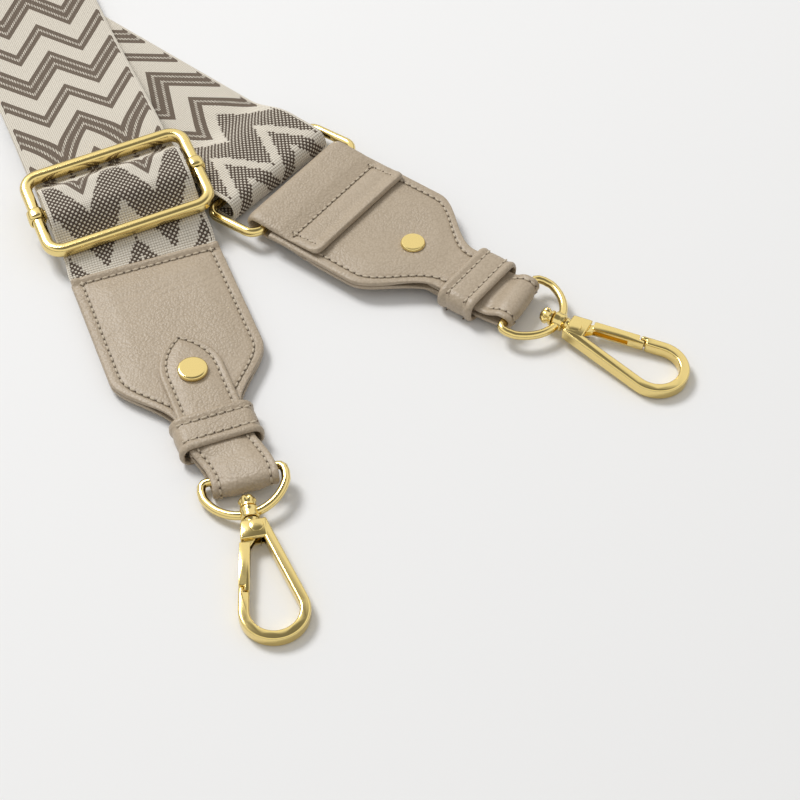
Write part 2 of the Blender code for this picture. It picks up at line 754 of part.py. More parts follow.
def folded_flap_stations():
    """The ring end's front leather from its flap's edge, round the link ring, to its own level."""
    across = Vector((0, 1, 0))
    half = FLAP_WIDTH / 2
    eases_at = LINK_BAR_X + RING_WIRE_RADIUS * 6
    edge = FLAP_LENGTH - LEATHER_FOLD_EXTREME
    stations = [(edge, FLAP_LEVEL), ((eases_at + edge) / 2, FLAP_LEVEL), (eases_at, FLAP_LEVEL)]
    stations.append((LINK_BAR_X, LEATHER_FOLD_Z - LINK_BAR_ROOM))
    steps = 8
    for index in range(steps + 1):
        turn = math.pi * (0.5 + index / steps)
        x = LEATHER_FOLD_X + LINK_BAR_ROOM * math.cos(turn)
        stations.append((x, LEATHER_FOLD_Z - LINK_BAR_ROOM * math.sin(turn)))
    stations.append((LINK_BAR_X, LEATHER_FOLD_Z + LINK_BAR_ROOM))
    stations.append((eases_at, FRONT_LEVEL))
    return smooth_path([(Vector((x, 0, z)), -across, half) for x, z in stations], BEND_STEP * 2)


def hook_strap_stations(end):
    """The hook strap: out between the panels, round the D-ring's bar and back to the pointed tongue."""
    stations = []
    folds_at = end.d_ring_bar + end.strap_slack
    opened = (end.d_ring_bar - D_RING_WIRE_RADIUS, folds_at)

    def add(x, z, half, bend=0):
        share = eased(x, STRAP_TURN_START, STRAP_TURN_END)
        turn = end.hook_turn * share
        roll = end.d_ring_roll * share
        across = Vector((-math.sin(turn), math.cos(turn), math.sin(roll))).normalized()
        middle = Vector((x, end.hook_shift * share, z)) + turned(turn) * bend
        stations.append((middle, across, half))

    half = STRAP_WIDTH / 2
    middle_x = (STRAP_TURN_START + STRAP_TURN_END) / 2
    add(-STRAP_START_BEFORE_RIVET, CORE_LEVEL, half)
    add(STRAP_TURN_START, CORE_LEVEL, half)
    add(middle_x, CORE_LEVEL, half)
    for x in opened:
        add(x, bar_level(end) - D_RING_BAR_ROOM, half)
    steps = 8
    for index in range(1, steps):
        turn = math.pi * index / steps - math.pi / 2
        height = bar_level(end) + D_RING_BAR_ROOM * math.sin(turn)
        add(folds_at, height, half, D_RING_BAR_ROOM * math.cos(turn))
    for x in reversed(opened):
        add(x, bar_level(end) + D_RING_BAR_ROOM, half)
    add(middle_x, TONGUE_LEVEL, half)
    add(STRAP_TURN_START, TONGUE_LEVEL, half)
    add(TONGUE_POINT_LENGTH - TONGUE_PAST_RIVET, TONGUE_LEVEL, half)
    point_steps = 9
    for index in range(1, point_steps + 1):
        share = 1 - index / point_steps
        width = STRAP_WIDTH * (1 - (1 - share) ** 2) ** TONGUE_FULLNESS
        x = TONGUE_POINT_LENGTH * share - TONGUE_PAST_RIVET
        add(x, TONGUE_LEVEL, max(width, TONGUE_TIP_WIDTH) / 2)
    return stations


def d_ring_points():
    """Closed centre line of the D-ring, its bar on the y axis."""
    arc = []
    for index in range(D_RING_ARC_STEPS + 1):
        degrees = D_RING_ARC_START + (180 - 2 * D_RING_ARC_START) * index / D_RING_ARC_STEPS
        turn = math.radians(degrees)
        arc.append((D_RING_DEPTH * math.sin(turn), D_RING_HALF_WIDTH * math.cos(turn), 0))
    corners = [(D_RING_DEPTH * deep, D_RING_HALF_WIDTH * wide, 0) for wide, deep in D_RING_CORNER_SHARES]
    mirrored = [(x, -y, z) for x, y, z in reversed(corners)]
    return corners + arc + mirrored


def tangent(start, side):
    """Heading from a point to the bow's circle, and the point where it touches."""
    apart = Vector(BOW_CENTRE) - Vector(start)
    heading = math.atan2(apart.y, apart.x) + side * math.asin(BOW_RADIUS / apart.length)
    normal = Vector((-math.sin(heading), math.cos(heading)))
    return heading, Vector(BOW_CENTRE) + normal * (BOW_RADIUS * side)


def offset_line(points, distance):
    """Points moved to the left of the way that they run."""
    out = []
    for index, point in enumerate(points):
        way = points[min(index + 1, len(points) - 1)] - points[max(index - 1, 0)]
        out.append(point + Vector((-way.y, way.x)).normalized() * distance)
    return out


def hook_outline():
    """Outline of the spine, the bow and the nose with its stepped notch, about the gate pin."""
    spine_heading, spine_touch = tangent(SPINE_START, 1)
    gate_heading, gate_touch = tangent(GATE_START, -1)
    first = spine_heading + math.pi / 2
    last = gate_heading - math.pi / 2
    centre = Vector(BOW_CENTRE)
    line = [Vector(SPINE_START), spine_touch]
    for index in range(1, BOW_STEPS):
        turn = first + (last - first) * index / BOW_STEPS
        line.append(centre + Vector((math.cos(turn), math.sin(turn))) * BOW_RADIUS)
    line.append(gate_touch)
    back = Vector((math.cos(gate_heading), math.sin(gate_heading)))
    start = Vector(GATE_START)
    long_end = start + back * NOTCH_FROM_PIN
    short_end = start + back * (NOTCH_FROM_PIN + NOTCH_STEP)
    step_gap = Vector((back.y, -back.x)) * (GAP / 2)
    half = HOOK_SECTION_WIDTH / 2
    outer = offset_line(line + [long_end], half)
    inner = offset_line(line + [short_end], -half)
    return outer + [long_end + step_gap, short_end + step_gap] + inner[::-1]


def gate_outline():
    """Outline of the gate's bar, from the block to its stepped end, about the gate pin."""
    heading, _ = tangent(GATE_START, -1)
    back = Vector((math.cos(heading), math.sin(heading)))
    inwards = Vector((-back.y, back.x))
    side = inwards * (GATE_WIDTH / 2)
    step_gap = inwards * (GAP / 2)
    start = Vector(GATE_START)
    root = start + back * GATE_BAR_FROM_PIN
    short_end = start + back * (NOTCH_FROM_PIN - NOTCH_GAP)
    long_end = start + back * (NOTCH_FROM_PIN + NOTCH_STEP - NOTCH_GAP)
    stepped = [short_end - side, short_end + step_gap, long_end + step_gap, long_end + side]
    return [root + side, root - side] + stepped


def spring_points():
    """Centre line of the gate spring: a leg in the gate, two turns round the pin, a leg in the block."""
    heading, _ = tangent(GATE_START, -1)
    steps = 12
    height = SPRING_PITCH * SPRING_TURN_STEPS
    start = heading + math.pi / 2
    points = []
    for index in range(steps * SPRING_TURN_STEPS + 1):
        share = index / (steps * SPRING_TURN_STEPS)
        turn = start - 2 * math.pi * SPRING_TURN_STEPS * share
        points.append(
            Vector((
                SPRING_COIL_RADIUS * math.cos(turn),
                SPRING_COIL_RADIUS * math.sin(turn),
                height * (share - 0.5),
            ))
        )
    along = Vector((math.cos(heading), math.sin(heading), 0))
    leg = [points[0] + along * (SPRING_LEG * share) for share in (1, 0.5)]
    return leg + points + [points[-1] + along * (SPRING_LEG / 4)]


class LeatherEnd:
    """Builds the twelve pieces of one leather end."""

    def __init__(self, shop, end):
        self.shop = shop
        self.end = end
        self.place = shop.frame(end.name + "_place", end_matrix(end))
        self.hook_place = shop.frame(end.name + "_hook_place", hook_matrix(end), self.place)
        roll = Matrix.Rotation(end.d_ring_roll, 4, "X")
        self.ring_place = shop.frame(end.name + "_ring_place", roll, self.hook_place)
        pin = Matrix.Translation((PIN_FROM_D_RING_BAR, PIN_OFFSET, 0))
        self.pin_place = shop.frame(end.name + "_pin_place", pin, self.hook_place)

    def name(self, piece):
        """Node name of a piece of this end."""
        return self.end.name + "_" + piece

    def pierce(self, target, radius):
        """Cuts the rivet's hole."""
        hole = cylinder_mesh(target.name + "_hole", radius, (REST_ABOVE + REST_BELOW) * 2)
        use(target, self.shop.cutter(hole, self.place), "DIFFERENCE")

    def build_leather(self):
        """The two panels, the hook strap and the keeper."""
        shop = self.shop
        start = -TAB_LENGTH
        if self.end.turned_over:
            back_start = BACK_LEATHER_INSET + start
            front = folded_flap_stations()
            flat = [(point, -across, half) for point, across, half in panel_stations(start, FRONT_LEVEL)]
            joins_at = front[-1][0].x
            front += [station for station in flat if station[0].x > joins_at]
        else:
            back_start = start
            front = panel_stations(start, FRONT_LEVEL)
        hole = RIVET_POST_RADIUS + GAP
        meshes = (
            (ribbon_mesh(self.name("front_leather"), front, LEATHER_THICKNESS), shop.leather),
            (
                ribbon_mesh(
                    self.name("back_leather"), panel_stations(back_start, BACK_LEVEL), LEATHER_THICKNESS
                ),
                shop.lining,
            ),
            (
                ribbon_mesh(self.name("hook_strap"), hook_strap_stations(self.end), STRAP_THICKNESS),
                shop.leather,
            ),
        )
        for mesh, finish in meshes:
            self.pierce(shop.piece(mesh, self.place, finish), hole)

        inner_height = STACK_TOP + GAP * 2
        inner = rounded_rectangle(KEEPER_INNER_WIDTH, inner_height, KEEPER_CORNER - KEEPER_THICKNESS)
        outer = rounded_rectangle(
            KEEPER_INNER_WIDTH + KEEPER_THICKNESS * 2, inner_height + KEEPER_THICKNESS * 2, KEEPER_CORNER
        )
        band = plate_mesh(self.name("keeper"), [outer, inner], KEEPER_LENGTH)
        stand = Matrix.Translation((self.end.keeper_centre, 0, STACK_TOP / 2)) @ ALONG_X
        shop.piece(band, self.place, shop.leather, stand)

    def build_rivet(self):
        """Cap with its post from the front, closing half from the back."""
        shop = self.shop
        half_height = RIVET_CAP_HEIGHT / 2
        cap = shop.piece(
            cylinder_mesh(self.name("rivet_cap"), RIVET_CAP_RADIUS, RIVET_CAP_HEIGHT, ROUND_STEPS + 8),
            self.place,
            shop.gold,
            Matrix.Translation((0, 0, STACK_TOP + GAP + half_height)),
        )
        round_edges(cap, RIVET_CAP_EDGE)
        post_length = STACK_TOP + GAP
        post = cylinder_mesh(self.name("rivet_post"), RIVET_POST_RADIUS, post_length + half_height)
        middle = Matrix.Translation((0, 0, (post_length + half_height) / 2))
        use(cap, shop.cutter(post, self.place, middle), "UNION")
        back = shop.piece(
            cylinder_mesh(self.name("rivet_back"), RIVET_BACK_RADIUS, RIVET_BACK_HEIGHT, ROUND_STEPS + 8),
            self.place,
            shop.gold,
            Matrix.Translation((0, 0, -GAP - RIVET_BACK_HEIGHT / 2)),
        )
        round_edges(back, RIVET_CAP_EDGE / 2, 1)

    def build_d_ring(self):
        """D-ring with the boss that the swivel post turns in."""
        shop = self.shop
        ring = shop.piece(
            wire_mesh(self.name("d_ring"), d_ring_points(), D_RING_WIRE_RADIUS, True),
            self.ring_place,
            shop.gold,
        )
        boss = cylinder_mesh(self.name("boss"), BOSS_RADIUS, BOSS_LENGTH)
        at_arc = Matrix.Translation((D_RING_DEPTH, 0, 0)) @ ALONG_X
        use(ring, shop.cutter(boss, self.ring_place, at_arc), "UNION")
        bore = cylinder_mesh(self.name("boss_bore"), POST_RADIUS + PIN_CLEARANCE, BOSS_LENGTH * 2)
        use(ring, shop.cutter(bore, self.ring_place, at_arc), "DIFFERENCE")

    def build_hook(self):
        """Swivel post, hook, gate, pin and spring."""
        shop = self.shop
        boss_near = D_RING_DEPTH - BOSS_LENGTH / 2
        boss_far = D_RING_DEPTH + BOSS_LENGTH / 2
        neck_start = boss_far + GAP
        crown_end = boss_near - GAP
        profile = (
            (crown_end - CROWN_LENGTH, CROWN_TIP_RADIUS),
            (crown_end - CROWN_LENGTH + CROWN_TAPER, CROWN_RADIUS),
            (crown_end - CROWN_TAPER / 2, CROWN_RADIUS),
            (crown_end, CROWN_TIP_RADIUS),
            (crown_end, POST_RADIUS),
            (neck_start + POST_IN_HOOK, POST_RADIUS),
        )
        shop.piece(turned_mesh(self.name("swivel_post"), profile), self.hook_place, shop.gold)

        hook = shop.piece(
            plate_mesh(self.name("hook"), [hook_outline()], HOOK_THICKNESS), self.pin_place, shop.gold
        )
        round_edges(hook, HOOK_EDGE)
        corners = (
            (-BLOCK_BEFORE_PIN, -BLOCK_TOP_GATE_SIDE),
            (BLOCK_PAST_PIN, -BLOCK_END_GATE_SIDE),
            (BLOCK_PAST_PIN, BLOCK_END_SPINE_SIDE),
            (-BLOCK_BEFORE_PIN, BLOCK_TOP_SPINE_SIDE),
        )
        block = shop.cutter(
            plate_mesh(self.name("hook_block"), [corners], BLOCK_THICKNESS), self.pin_place
        )
        round_edges(block, HOOK_EDGE / 2, 1)
        use(hook, block, "UNION")
        neck_end = PIN_FROM_D_RING_BAR - BLOCK_BEFORE_PIN + HOOK_EDGE
        neck = cylinder_mesh(self.name("hook_neck"), NECK_RADIUS, neck_end - neck_start)
        at_neck = Matrix.Translation(((neck_start + neck_end) / 2, 0, 0)) @ ALONG_X
        use(hook, shop.cutter(neck, self.hook_place, at_neck), "UNION")
        bore = cylinder_mesh(
            self.name("neck_bore"), POST_RADIUS + PIN_CLEARANCE, (POST_IN_HOOK + CUT_OVERRUN) * 2
        )
        at_bore = Matrix.Translation((neck_start, 0, 0)) @ ALONG_X
        use(hook, shop.cutter(bore, self.hook_place, at_bore), "DIFFERENCE")

        slot_start = -GATE_ROOT_RADIUS - GAP
        slot_end = BLOCK_PAST_PIN + CUT_OVERRUN
        slot_side = GATE_ROOT_RADIUS + GAP
        slot_far = BLOCK_END_GATE_SIDE + CUT_OVERRUN
        slot = box_mesh(
            self.name("gate_slot"),
            (slot_end - slot_start, slot_side + slot_far, GATE_ROOT_THICKNESS + GATE_SLOT_CLEARANCE * 2),
        )
        at_slot = Matrix.Translation(((slot_start + slot_end) / 2, (slot_side - slot_far) / 2, 0))
        use(hook, shop.cutter(slot, self.pin_place, at_slot), "DIFFERENCE")
        pin_hole = cylinder_mesh(
            self.name("pin_hole"), GATE_PIN_RADIUS + PIN_CLEARANCE, BLOCK_THICKNESS * 2
        )
        use(hook, shop.cutter(pin_hole, self.pin_place), "DIFFERENCE")

        self.build_gate()

        pin = shop.piece(
            cylinder_mesh(
                self.name("gate_pin"), GATE_PIN_RADIUS, BLOCK_THICKNESS + GATE_PIN_HEAD_HEIGHT * 2
            ),
            self.pin_place,
            shop.gold,
        )
        for side, label in ((1, "front"), (-1, "back")):
            head = cylinder_mesh(
                self.name("pin_head_" + label), GATE_PIN_HEAD_RADIUS, GATE_PIN_HEAD_HEIGHT
            )
            height = BLOCK_THICKNESS / 2 + PIN_CLEARANCE + GATE_PIN_HEAD_HEIGHT / 2
            lift = Matrix.Translation((0, 0, height * side))
            use(pin, shop.cutter(head, self.pin_place, lift), "UNION")
        spring = wire_mesh(self.name("gate_spring"), spring_points(), SPRING_WIRE_RADIUS, False, 1)
        shop.piece(spring, self.pin_place, shop.steel)

    def build_gate(self):
        """Channel-section gate with two ears on the pin."""
        shop = self.shop
        gate = shop.piece(
            plate_mesh(self.name("gate"), [gate_outline()], GATE_THICKNESS), self.pin_place, shop.gold
        )
        heading, _ = tangent(GATE_START, -1)
        back = Vector((math.cos(heading), math.sin(heading)))
        bar = Vector(GATE_START) + back * (GATE_BAR_FROM_PIN + GATE_ROOT_RADIUS)
        side = Vector((-back.y, back.x)) * (GATE_WIDTH / 2 - GAP)
        root = [Vector((0, GATE_ROOT_RADIUS)), bar + side, bar - side]
        steps = 8
        first = heading - math.pi / 2
        for index in range(steps + 1):
            turn = first - math.pi * index / steps
            root.append(Vector((math.cos(turn), math.sin(turn))) * GATE_ROOT_RADIUS)
        ears = plate_mesh(self.name("gate_root"), [root[1:]], GATE_ROOT_THICKNESS)
        use(gate, shop.cutter(ears, self.pin_place), "UNION")

        turned_in = Matrix.Rotation(heading, 4, "Z")
        length = NOTCH_FROM_PIN - GATE_CHANNEL_STOP
        depth = GATE_WIDTH + GATE_ROOT_RADIUS
        channel = box_mesh(self.name("gate_channel"), (length, depth, GATE_CHANNEL_WIDTH))
        floor = GATE_CHANNEL_FLOOR - GATE_WIDTH / 2
        middle = Matrix.Translation((length / 2, depth / 2 + floor, 0))
        start = Matrix.Translation((*GATE_START, 0))
        cut = shop.cutter(channel, self.pin_place, start @ turned_in @ middle)
        use(gate, cut, "DIFFERENCE")
        pocket = cylinder_mesh(self.name("spring_pocket"), SPRING_POCKET_RADIUS, SPRING_POCKET_WIDTH)
        use(gate, shop.cutter(pocket, self.pin_place), "DIFFERENCE")
        hole = cylinder_mesh(
            self.name("gate_hole"), GATE_PIN_RADIUS + PIN_CLEARANCE, GATE_ROOT_THICKNESS * 2
        )
        use(gate, shop.cutter(hole, self.pin_place), "DIFFERENCE")

    def build(self):
        """All pieces of the end."""
        self.build_leather()
        self.build_rivet()
        self.build_d_ring()
        self.build_hook()


def build_webbing(shop):
    """The one strip of webbing."""
    stations, doubles_back = webbing_stations()
    mesh = ribbon_mesh("webbing", stations, WEBBING_THICKNESS, doubles_back)
    shop.piece(mesh, None, shop.weave)


def build_slider(shop):
    """Wire frame and the loose bar whose sleeves run on its short sides."""
    place = shop.frame("slider_place", slider_matrix())
    length = SLIDER_LENGTH - SLIDER_FRAME_WIDTH
    outer = rounded_rectangle(SLIDER_LENGTH, SLIDER_DEPTH, SLIDER_CORNER)
    inner = rounded_rectangle(
        SLIDER_LENGTH - SLIDER_FRAME_WIDTH * 2,
        SLIDER_DEPTH - SLIDER_FRAME_WIDTH * 2,
        SLIDER_CORNER - SLIDER_FRAME_WIDTH,
    )
    frame = shop.piece(
        plate_mesh("slider_frame", [outer, inner], SLIDER_FRAME_HEIGHT), place, shop.gold
    )
    round_edges(frame, SLIDER_FRAME_EDGE)
    bar = shop.piece(cylinder_mesh("slider_bar", BAR_RADIUS, length), place, shop.gold, ALONG_Y)
    for label, side, room, longer, operation in (
        ("sleeve_left", 1, SLEEVE_BUILD_UP, 1, "UNION"),
        ("sleeve_right", -1, SLEEVE_BUILD_UP, 1, "UNION"),
        ("sleeve_bore_left", 1, GAP, 2, "DIFFERENCE"),
        ("sleeve_bore_right", -1, GAP, 2, "DIFFERENCE"),
    ):
        size = (SLEEVE_LENGTH * longer, SLIDER_FRAME_WIDTH + room * 2, SLIDER_FRAME_HEIGHT + room * 2)
        sleeve = shop.cutter(box_mesh(label, size), place, Matrix.Translation((0, side * length / 2, 0)))
        use(bar, sleeve, operation)
    round_edges(bar, SLEEVE_WALL, 1)


def build_link_ring(shop):
    """Wire ring between the webbing and the second leather end, its origin on the webbing's bar."""
    heading = Matrix.Rotation(RING_END.heading, 4, "Z")
    rise = Matrix.Rotation(-RING_RISE, 4, "Y")
    place = shop.frame("link_ring_place", Matrix.Translation(WEBBING_BAR) @ heading @ rise)
    length = RING_LENGTH - RING_WIRE_RADIUS * 2
    outline = rounded_rectangle(length, RING_SPAN, RING_CORNER)
    points = [(x + RING_SPAN / 2, y, 0) for x, y in outline]
    shop.piece(wire_mesh("link_ring", points, RING_WIRE_RADIUS, True), place, shop.gold)


def main():
    """Builds the whole strap."""
    clear_scene()
    shop = Workshop()
    build_webbing(shop)
    build_slider(shop)
    build_link_ring(shop)
    for end in (SLIDER_END, RING_END):
        LeatherEnd(shop, end).build()


main()
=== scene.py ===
"""Looks of a detachable bag strap: patterned webbing, two leather ends and gilt fittings."""

import logging
import math
from collections.abc import Callable
from dataclasses import dataclass, field
from enum import Enum

import bmesh
import bpy
import numpy as np
from mathutils import Matrix, Vector

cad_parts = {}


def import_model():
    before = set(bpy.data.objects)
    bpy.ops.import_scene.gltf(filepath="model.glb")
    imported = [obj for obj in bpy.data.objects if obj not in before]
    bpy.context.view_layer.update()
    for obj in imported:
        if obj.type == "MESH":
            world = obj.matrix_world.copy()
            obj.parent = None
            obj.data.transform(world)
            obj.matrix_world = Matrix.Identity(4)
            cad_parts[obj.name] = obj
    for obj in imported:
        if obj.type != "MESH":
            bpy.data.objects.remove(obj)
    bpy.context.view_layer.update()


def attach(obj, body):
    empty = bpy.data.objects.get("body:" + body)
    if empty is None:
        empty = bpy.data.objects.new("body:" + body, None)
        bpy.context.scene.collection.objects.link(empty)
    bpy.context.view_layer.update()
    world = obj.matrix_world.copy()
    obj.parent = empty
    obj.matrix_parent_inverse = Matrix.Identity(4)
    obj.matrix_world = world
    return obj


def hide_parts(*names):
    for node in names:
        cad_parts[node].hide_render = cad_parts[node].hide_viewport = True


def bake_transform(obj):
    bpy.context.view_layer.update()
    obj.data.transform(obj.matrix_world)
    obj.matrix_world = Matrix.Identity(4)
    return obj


LOG = logging.getLogger("bag_strap")
GAP = 0.0003
# Sewing draws the leather's rim in, thickens it and reaches this far from its edge
RIM_DRAWN_IN = 0.00036
RIM_THICKENED = 0.00030
RIM_REACH = 0.0032
Z_UP = Vector((0, 0, 1))
# Lays a solid that was turned about x along z
X_ONTO_Z = Matrix.Rotation(math.pi / 2, 4, "Y")
# Node and property of the operations of a recipe that aren't sums
RECIPE_NODES = {
    "MIX": ("ShaderNodeMixRGB", "blend_type"),
    "LINEAR": ("ShaderNodeMapRange", "interpolation_type"),
    "SMOOTHSTEP": ("ShaderNodeMapRange", "interpolation_type"),
}


# Small helpers


def srgb(code: str) -> tuple[float, float, float, float]:
    """Linear colour of an sRGB hex code.

    Args:
        code: six hex digits after a number sign.

    Returns:
        Red, green, blue and alpha in Blender's linear space.
    """
    parts = [int(code[index : index + 2], 16) / 255 for index in (1, 3, 5)]
    linear = [part / 12.92 if part <= 0.04045 else ((part + 0.055) / 1.055) ** 2.4 for part in parts]
    return (*linear, 1.0)


def add_node(tree: bpy.types.NodeTree, kind: str, values: dict | None = None, links: dict | None = None,
             **settings: object) -> bpy.types.Node:
    """Adds a node with its settings, socket values and links.

    Args:
        tree: node tree that gets the node.
        kind: Blender's name of the node type.
        values: value of each input socket, by name or number.
        links: output socket that feeds each input socket, by name or number.
        settings: properties of the node itself.

    Returns:
        The new node.
    """
    node = tree.nodes.new(kind)
    for name, value in settings.items():
        setattr(node, name, value)
    for socket, value in (values or {}).items():
        node.inputs[socket].default_value = value
    for socket, source in (links or {}).items():
        tree.links.new(source, node.inputs[socket])
    return node


def follow_recipe(tree: bpy.types.NodeTree, known: dict, recipe: list) -> None:
    """Adds a node for each line of a recipe and keeps its output under the line's name.

    Args:
        tree: node tree that gets the nodes.
        known: outputs by name; the new ones are added to it.
        recipe: tuples of (name, operation, terms). A term is a number, a colour's code or the name of an
            output. STEPS takes a place from 0 to 1 and pairs of (start, grey) with the first start at 0,
            LINEAR and SMOOTHSTEP a value and the range that it is mapped from and to, MIX a share and
            two colours. Any other operation is a sum.
    """
    for name, operation, *terms in recipe:
        stops = terms.pop() if operation == "STEPS" else []
        links = {place: known[term] for place, term in enumerate(terms) if term in known}
        values = {place: srgb(term) if isinstance(term, str) else term
                  for place, term in enumerate(terms) if place not in links}
        if stops:
            node = add_node(tree, "ShaderNodeValToRGB", values, links)
            node.color_ramp.interpolation = "CONSTANT"
            marks = node.color_ramp.elements
            marks.remove(marks[-1])
            marks[0].position = 0
            marks[0].color = (stops[0][1],) * 3 + (1,)
            for start, grey in stops[1:]:
                marks.new(start).color = (grey,) * 3 + (1,)
        else:
            kind, setting = RECIPE_NODES.get(operation, ("ShaderNodeMath", "operation"))
            node = add_node(tree, kind, values, links, **{setting: operation})
        known[name] = node.outputs[0]


def turned(angle: float) -> Vector:
    """Unit vector on the floor at an angle from +X."""
    return Vector((math.cos(angle), math.sin(angle), 0))


def left_of(angle: float) -> Vector:
    """Unit vector on the floor to the left of a heading."""
    return turned(angle + math.pi / 2)


def eased(value: float, start: float, end: float) -> float:
    """Share of a way that starts and ends gently.

    Args:
        value: place on the way.
        start: place up to which the share is 0.
        end: place from which it is 1.

    Returns:
        The share.
    """
    share = min(max((value - start) / (end - start), 0), 1)
    return share * share * (3 - 2 * share)


def eased_all(values: np.ndarray, start: float, end: float) -> np.ndarray:
    """The same easing for an array of values."""
    share = np.clip((values - start) / (end - start), 0, 1)
    return share * share * (3 - 2 * share)


def unit_rows(rows: np.ndarray) -> np.ndarray:
    """Rows of vectors, each made one unit long."""
    return rows / np.linalg.norm(rows, axis=1)[:, None]


def rows_at(marks: np.ndarray, run: np.ndarray, rows: np.ndarray) -> np.ndarray:
    """Rows of numbers read off between known ones.

    Args:
        marks: distances at which rows are wanted.
        run: distances of the known rows.
        rows: the known rows.

    Returns:
        A row for each mark.
    """
    return np.stack([np.interp(marks, run, column) for column in rows.T], axis=1)


def rounded_rectangle(length: float, depth: float, corner: float, steps: int = 8) -> list[Vector]:
    """Points of a rectangle with round corners.

    Args:
        length: size along y.
        depth: size along x.
        corner: radius of the corners.
        steps: pieces of each corner.

    Returns:
        Points, anticlockwise.
    """
    points = []
    for quarter in range(4):
        side_x = 1 if quarter in (0, 3) else -1
        side_y = 1 if quarter in (0, 1) else -1
        middle = Vector((side_x * (depth / 2 - corner), side_y * (length / 2 - corner)))
        for index in range(steps + 1):
            turn = math.pi / 2 * (quarter + index / steps)
            points.append(middle + Vector((math.cos(turn), math.sin(turn))) * corner)
    return points


def circle(radius: float, steps: int = 20) -> list[Vector]:
    """Points of a circle, anticlockwise."""
    turns = (2 * math.pi * index / steps for index in range(steps))
    return [Vector((math.cos(turn), math.sin(turn))) * radius for turn in turns]


def outward(mesh: bpy.types.Mesh, crease: float = 40) -> bpy.types.Mesh:
    """Turns the faces outwards and shades them smooth with sharp creases.

    Args:
        mesh: closed shells.
        crease: angle in degrees above which an edge is sharp.

    Returns:
        The same mesh.
    """
    build = bmesh.new()
    build.from_mesh(mesh)
    bmesh.ops.recalc_face_normals(build, faces=build.faces)
    build.to_mesh(mesh)
    build.free()
    mesh.shade_smooth()
    mesh.set_sharp_from_angle(angle=math.radians(crease))
    return mesh


def loft(name: str, rings: list, closed: bool = False, crease: float = 40) -> bpy.types.Mesh:
    """Closed skin over rings of points.

    Args:
        name: name of the mesh.
        rings: lists of points, all of the same length.
        closed: whether the last ring joins the first; if not, both ends get a cap.
        crease: angle in degrees above which an edge is sharp.

    Returns:
        The mesh.
    """
    count = len(rings[0])
    points = [tuple(point) for ring in rings for point in ring]
    faces = []
    pairs = len(rings) if closed else len(rings) - 1
    for row in range(pairs):
        one, two = row * count, (row + 1) % len(rings) * count
        for index in range(count):
            follow = (index + 1) % count
            faces.append((one + index, one + follow, two + follow, two + index))
    if not closed:
        faces.append(tuple(reversed(range(count))))
        faces.append(tuple(range(len(points) - count, len(points))))
    mesh = bpy.data.meshes.new(name)
    mesh.from_pydata(points, [], faces)
    return outward(mesh, crease)


def flat_sweep(name: str, path: list, section: list, closed: bool = True) -> bpy.types.Mesh:
    """Sweeps a section along a path that lies in the xy plane.

    Args:
        name: name of the mesh.
        path: points of the centre line.
        section: points of (sideways, upwards) round the centre line.
        closed: whether the path is a loop.

    Returns:
        The mesh.
    """
    rings = []
    count = len(path)
    for index, point in enumerate(path):
        before = path[(index - 1) % count] if closed else path[max(index - 1, 0)]
        after = path[(index + 1) % count] if closed else path[min(index + 1, count - 1)]
        way = (Vector(after[:2]) - Vector(before[:2])).normalized()
        side = Vector((-way.y, way.x, 0))
        place = Vector((*point[:2], 0))
        rings.append([place + side * spot[0] + Z_UP * spot[1] for spot in section])
    return loft(name, rings, closed)


def turned_solid(name: str, profile: list, lobes: int = 0, depth: float = 0,
                 steps: int = 32) -> bpy.types.Mesh:
    """Solid turned about x.

    Args:
        name: name of the mesh.
        profile: (x, radius) or (x, radius, share of the lobes) in rising or falling x.
        lobes: number of bumps round it.
        depth: how deep the bumps are, as a share of the radius.
        steps: sides.

    Returns:
        The mesh.
    """
    rings = []
    for spot in profile:
        x, radius = spot[:2]
        share = spot[2] if len(spot) > 2 else 0
        ring = []
        for index in range(steps):
            turn = 2 * math.pi * index / steps
            wide = radius * (1 + depth * share * (abs(math.cos(turn * lobes / 2)) - 0.6))
            ring.append((x, wide * math.cos(turn), wide * math.sin(turn)))
        rings.append(ring)
    return loft(name, rings)


def plate(name: str, outline: list, thickness: float, edge: float, segments: int = 3) -> bpy.types.Mesh:
    """Flat plate with rounded edges, centred on z = 0.

    Args:
        name: name of the mesh.
        outline: points of the outline.
        thickness: full thickness.
        edge: radius of the edges.
        segments: steps of each rounded edge.

    Returns:
        The mesh.
    """
    build = bmesh.new()
    lower = [build.verts.new((*point[:2], -thickness / 2)) for point in outline]
    upper = [build.verts.new((*point[:2], thickness / 2)) for point in outline]
    count = len(outline)
    build.faces.new(reversed(lower))
    build.faces.new(upper)
    for index in range(count):
        follow = (index + 1) % count
        build.faces.new((lower[index], lower[follow], upper[follow], upper[index]))
    bmesh.ops.recalc_face_normals(build, faces=build.faces)
    if edge:
        sharp = [line for line in build.edges if line.calc_face_angle(0) > math.radians(50)]
        bmesh.ops.bevel(build, geom=sharp, offset=edge, segments=segments, profile=0.5, affect="EDGES",
                        clamp_overlap=True)
    mesh = bpy.data.meshes.new(name)
    build.to_mesh(mesh)
    build.free()
    return outward(mesh)


def box(name: str, low: tuple, high: tuple) -> bpy.types.Mesh:
    """Plain box.

    Args:
        name: name of the mesh.
        low: its lowest corner.
        high: its highest corner.

    Returns:
        The mesh.
    """
    outline = [(low[0], low[1]), (high[0], low[1]), (high[0], high[1]), (low[0], high[1])]
    mesh = plate(name, outline, high[2] - low[2], 0)
    mesh.transform(Matrix.Translation((0, 0, (low[2] + high[2]) / 2)))
    return mesh


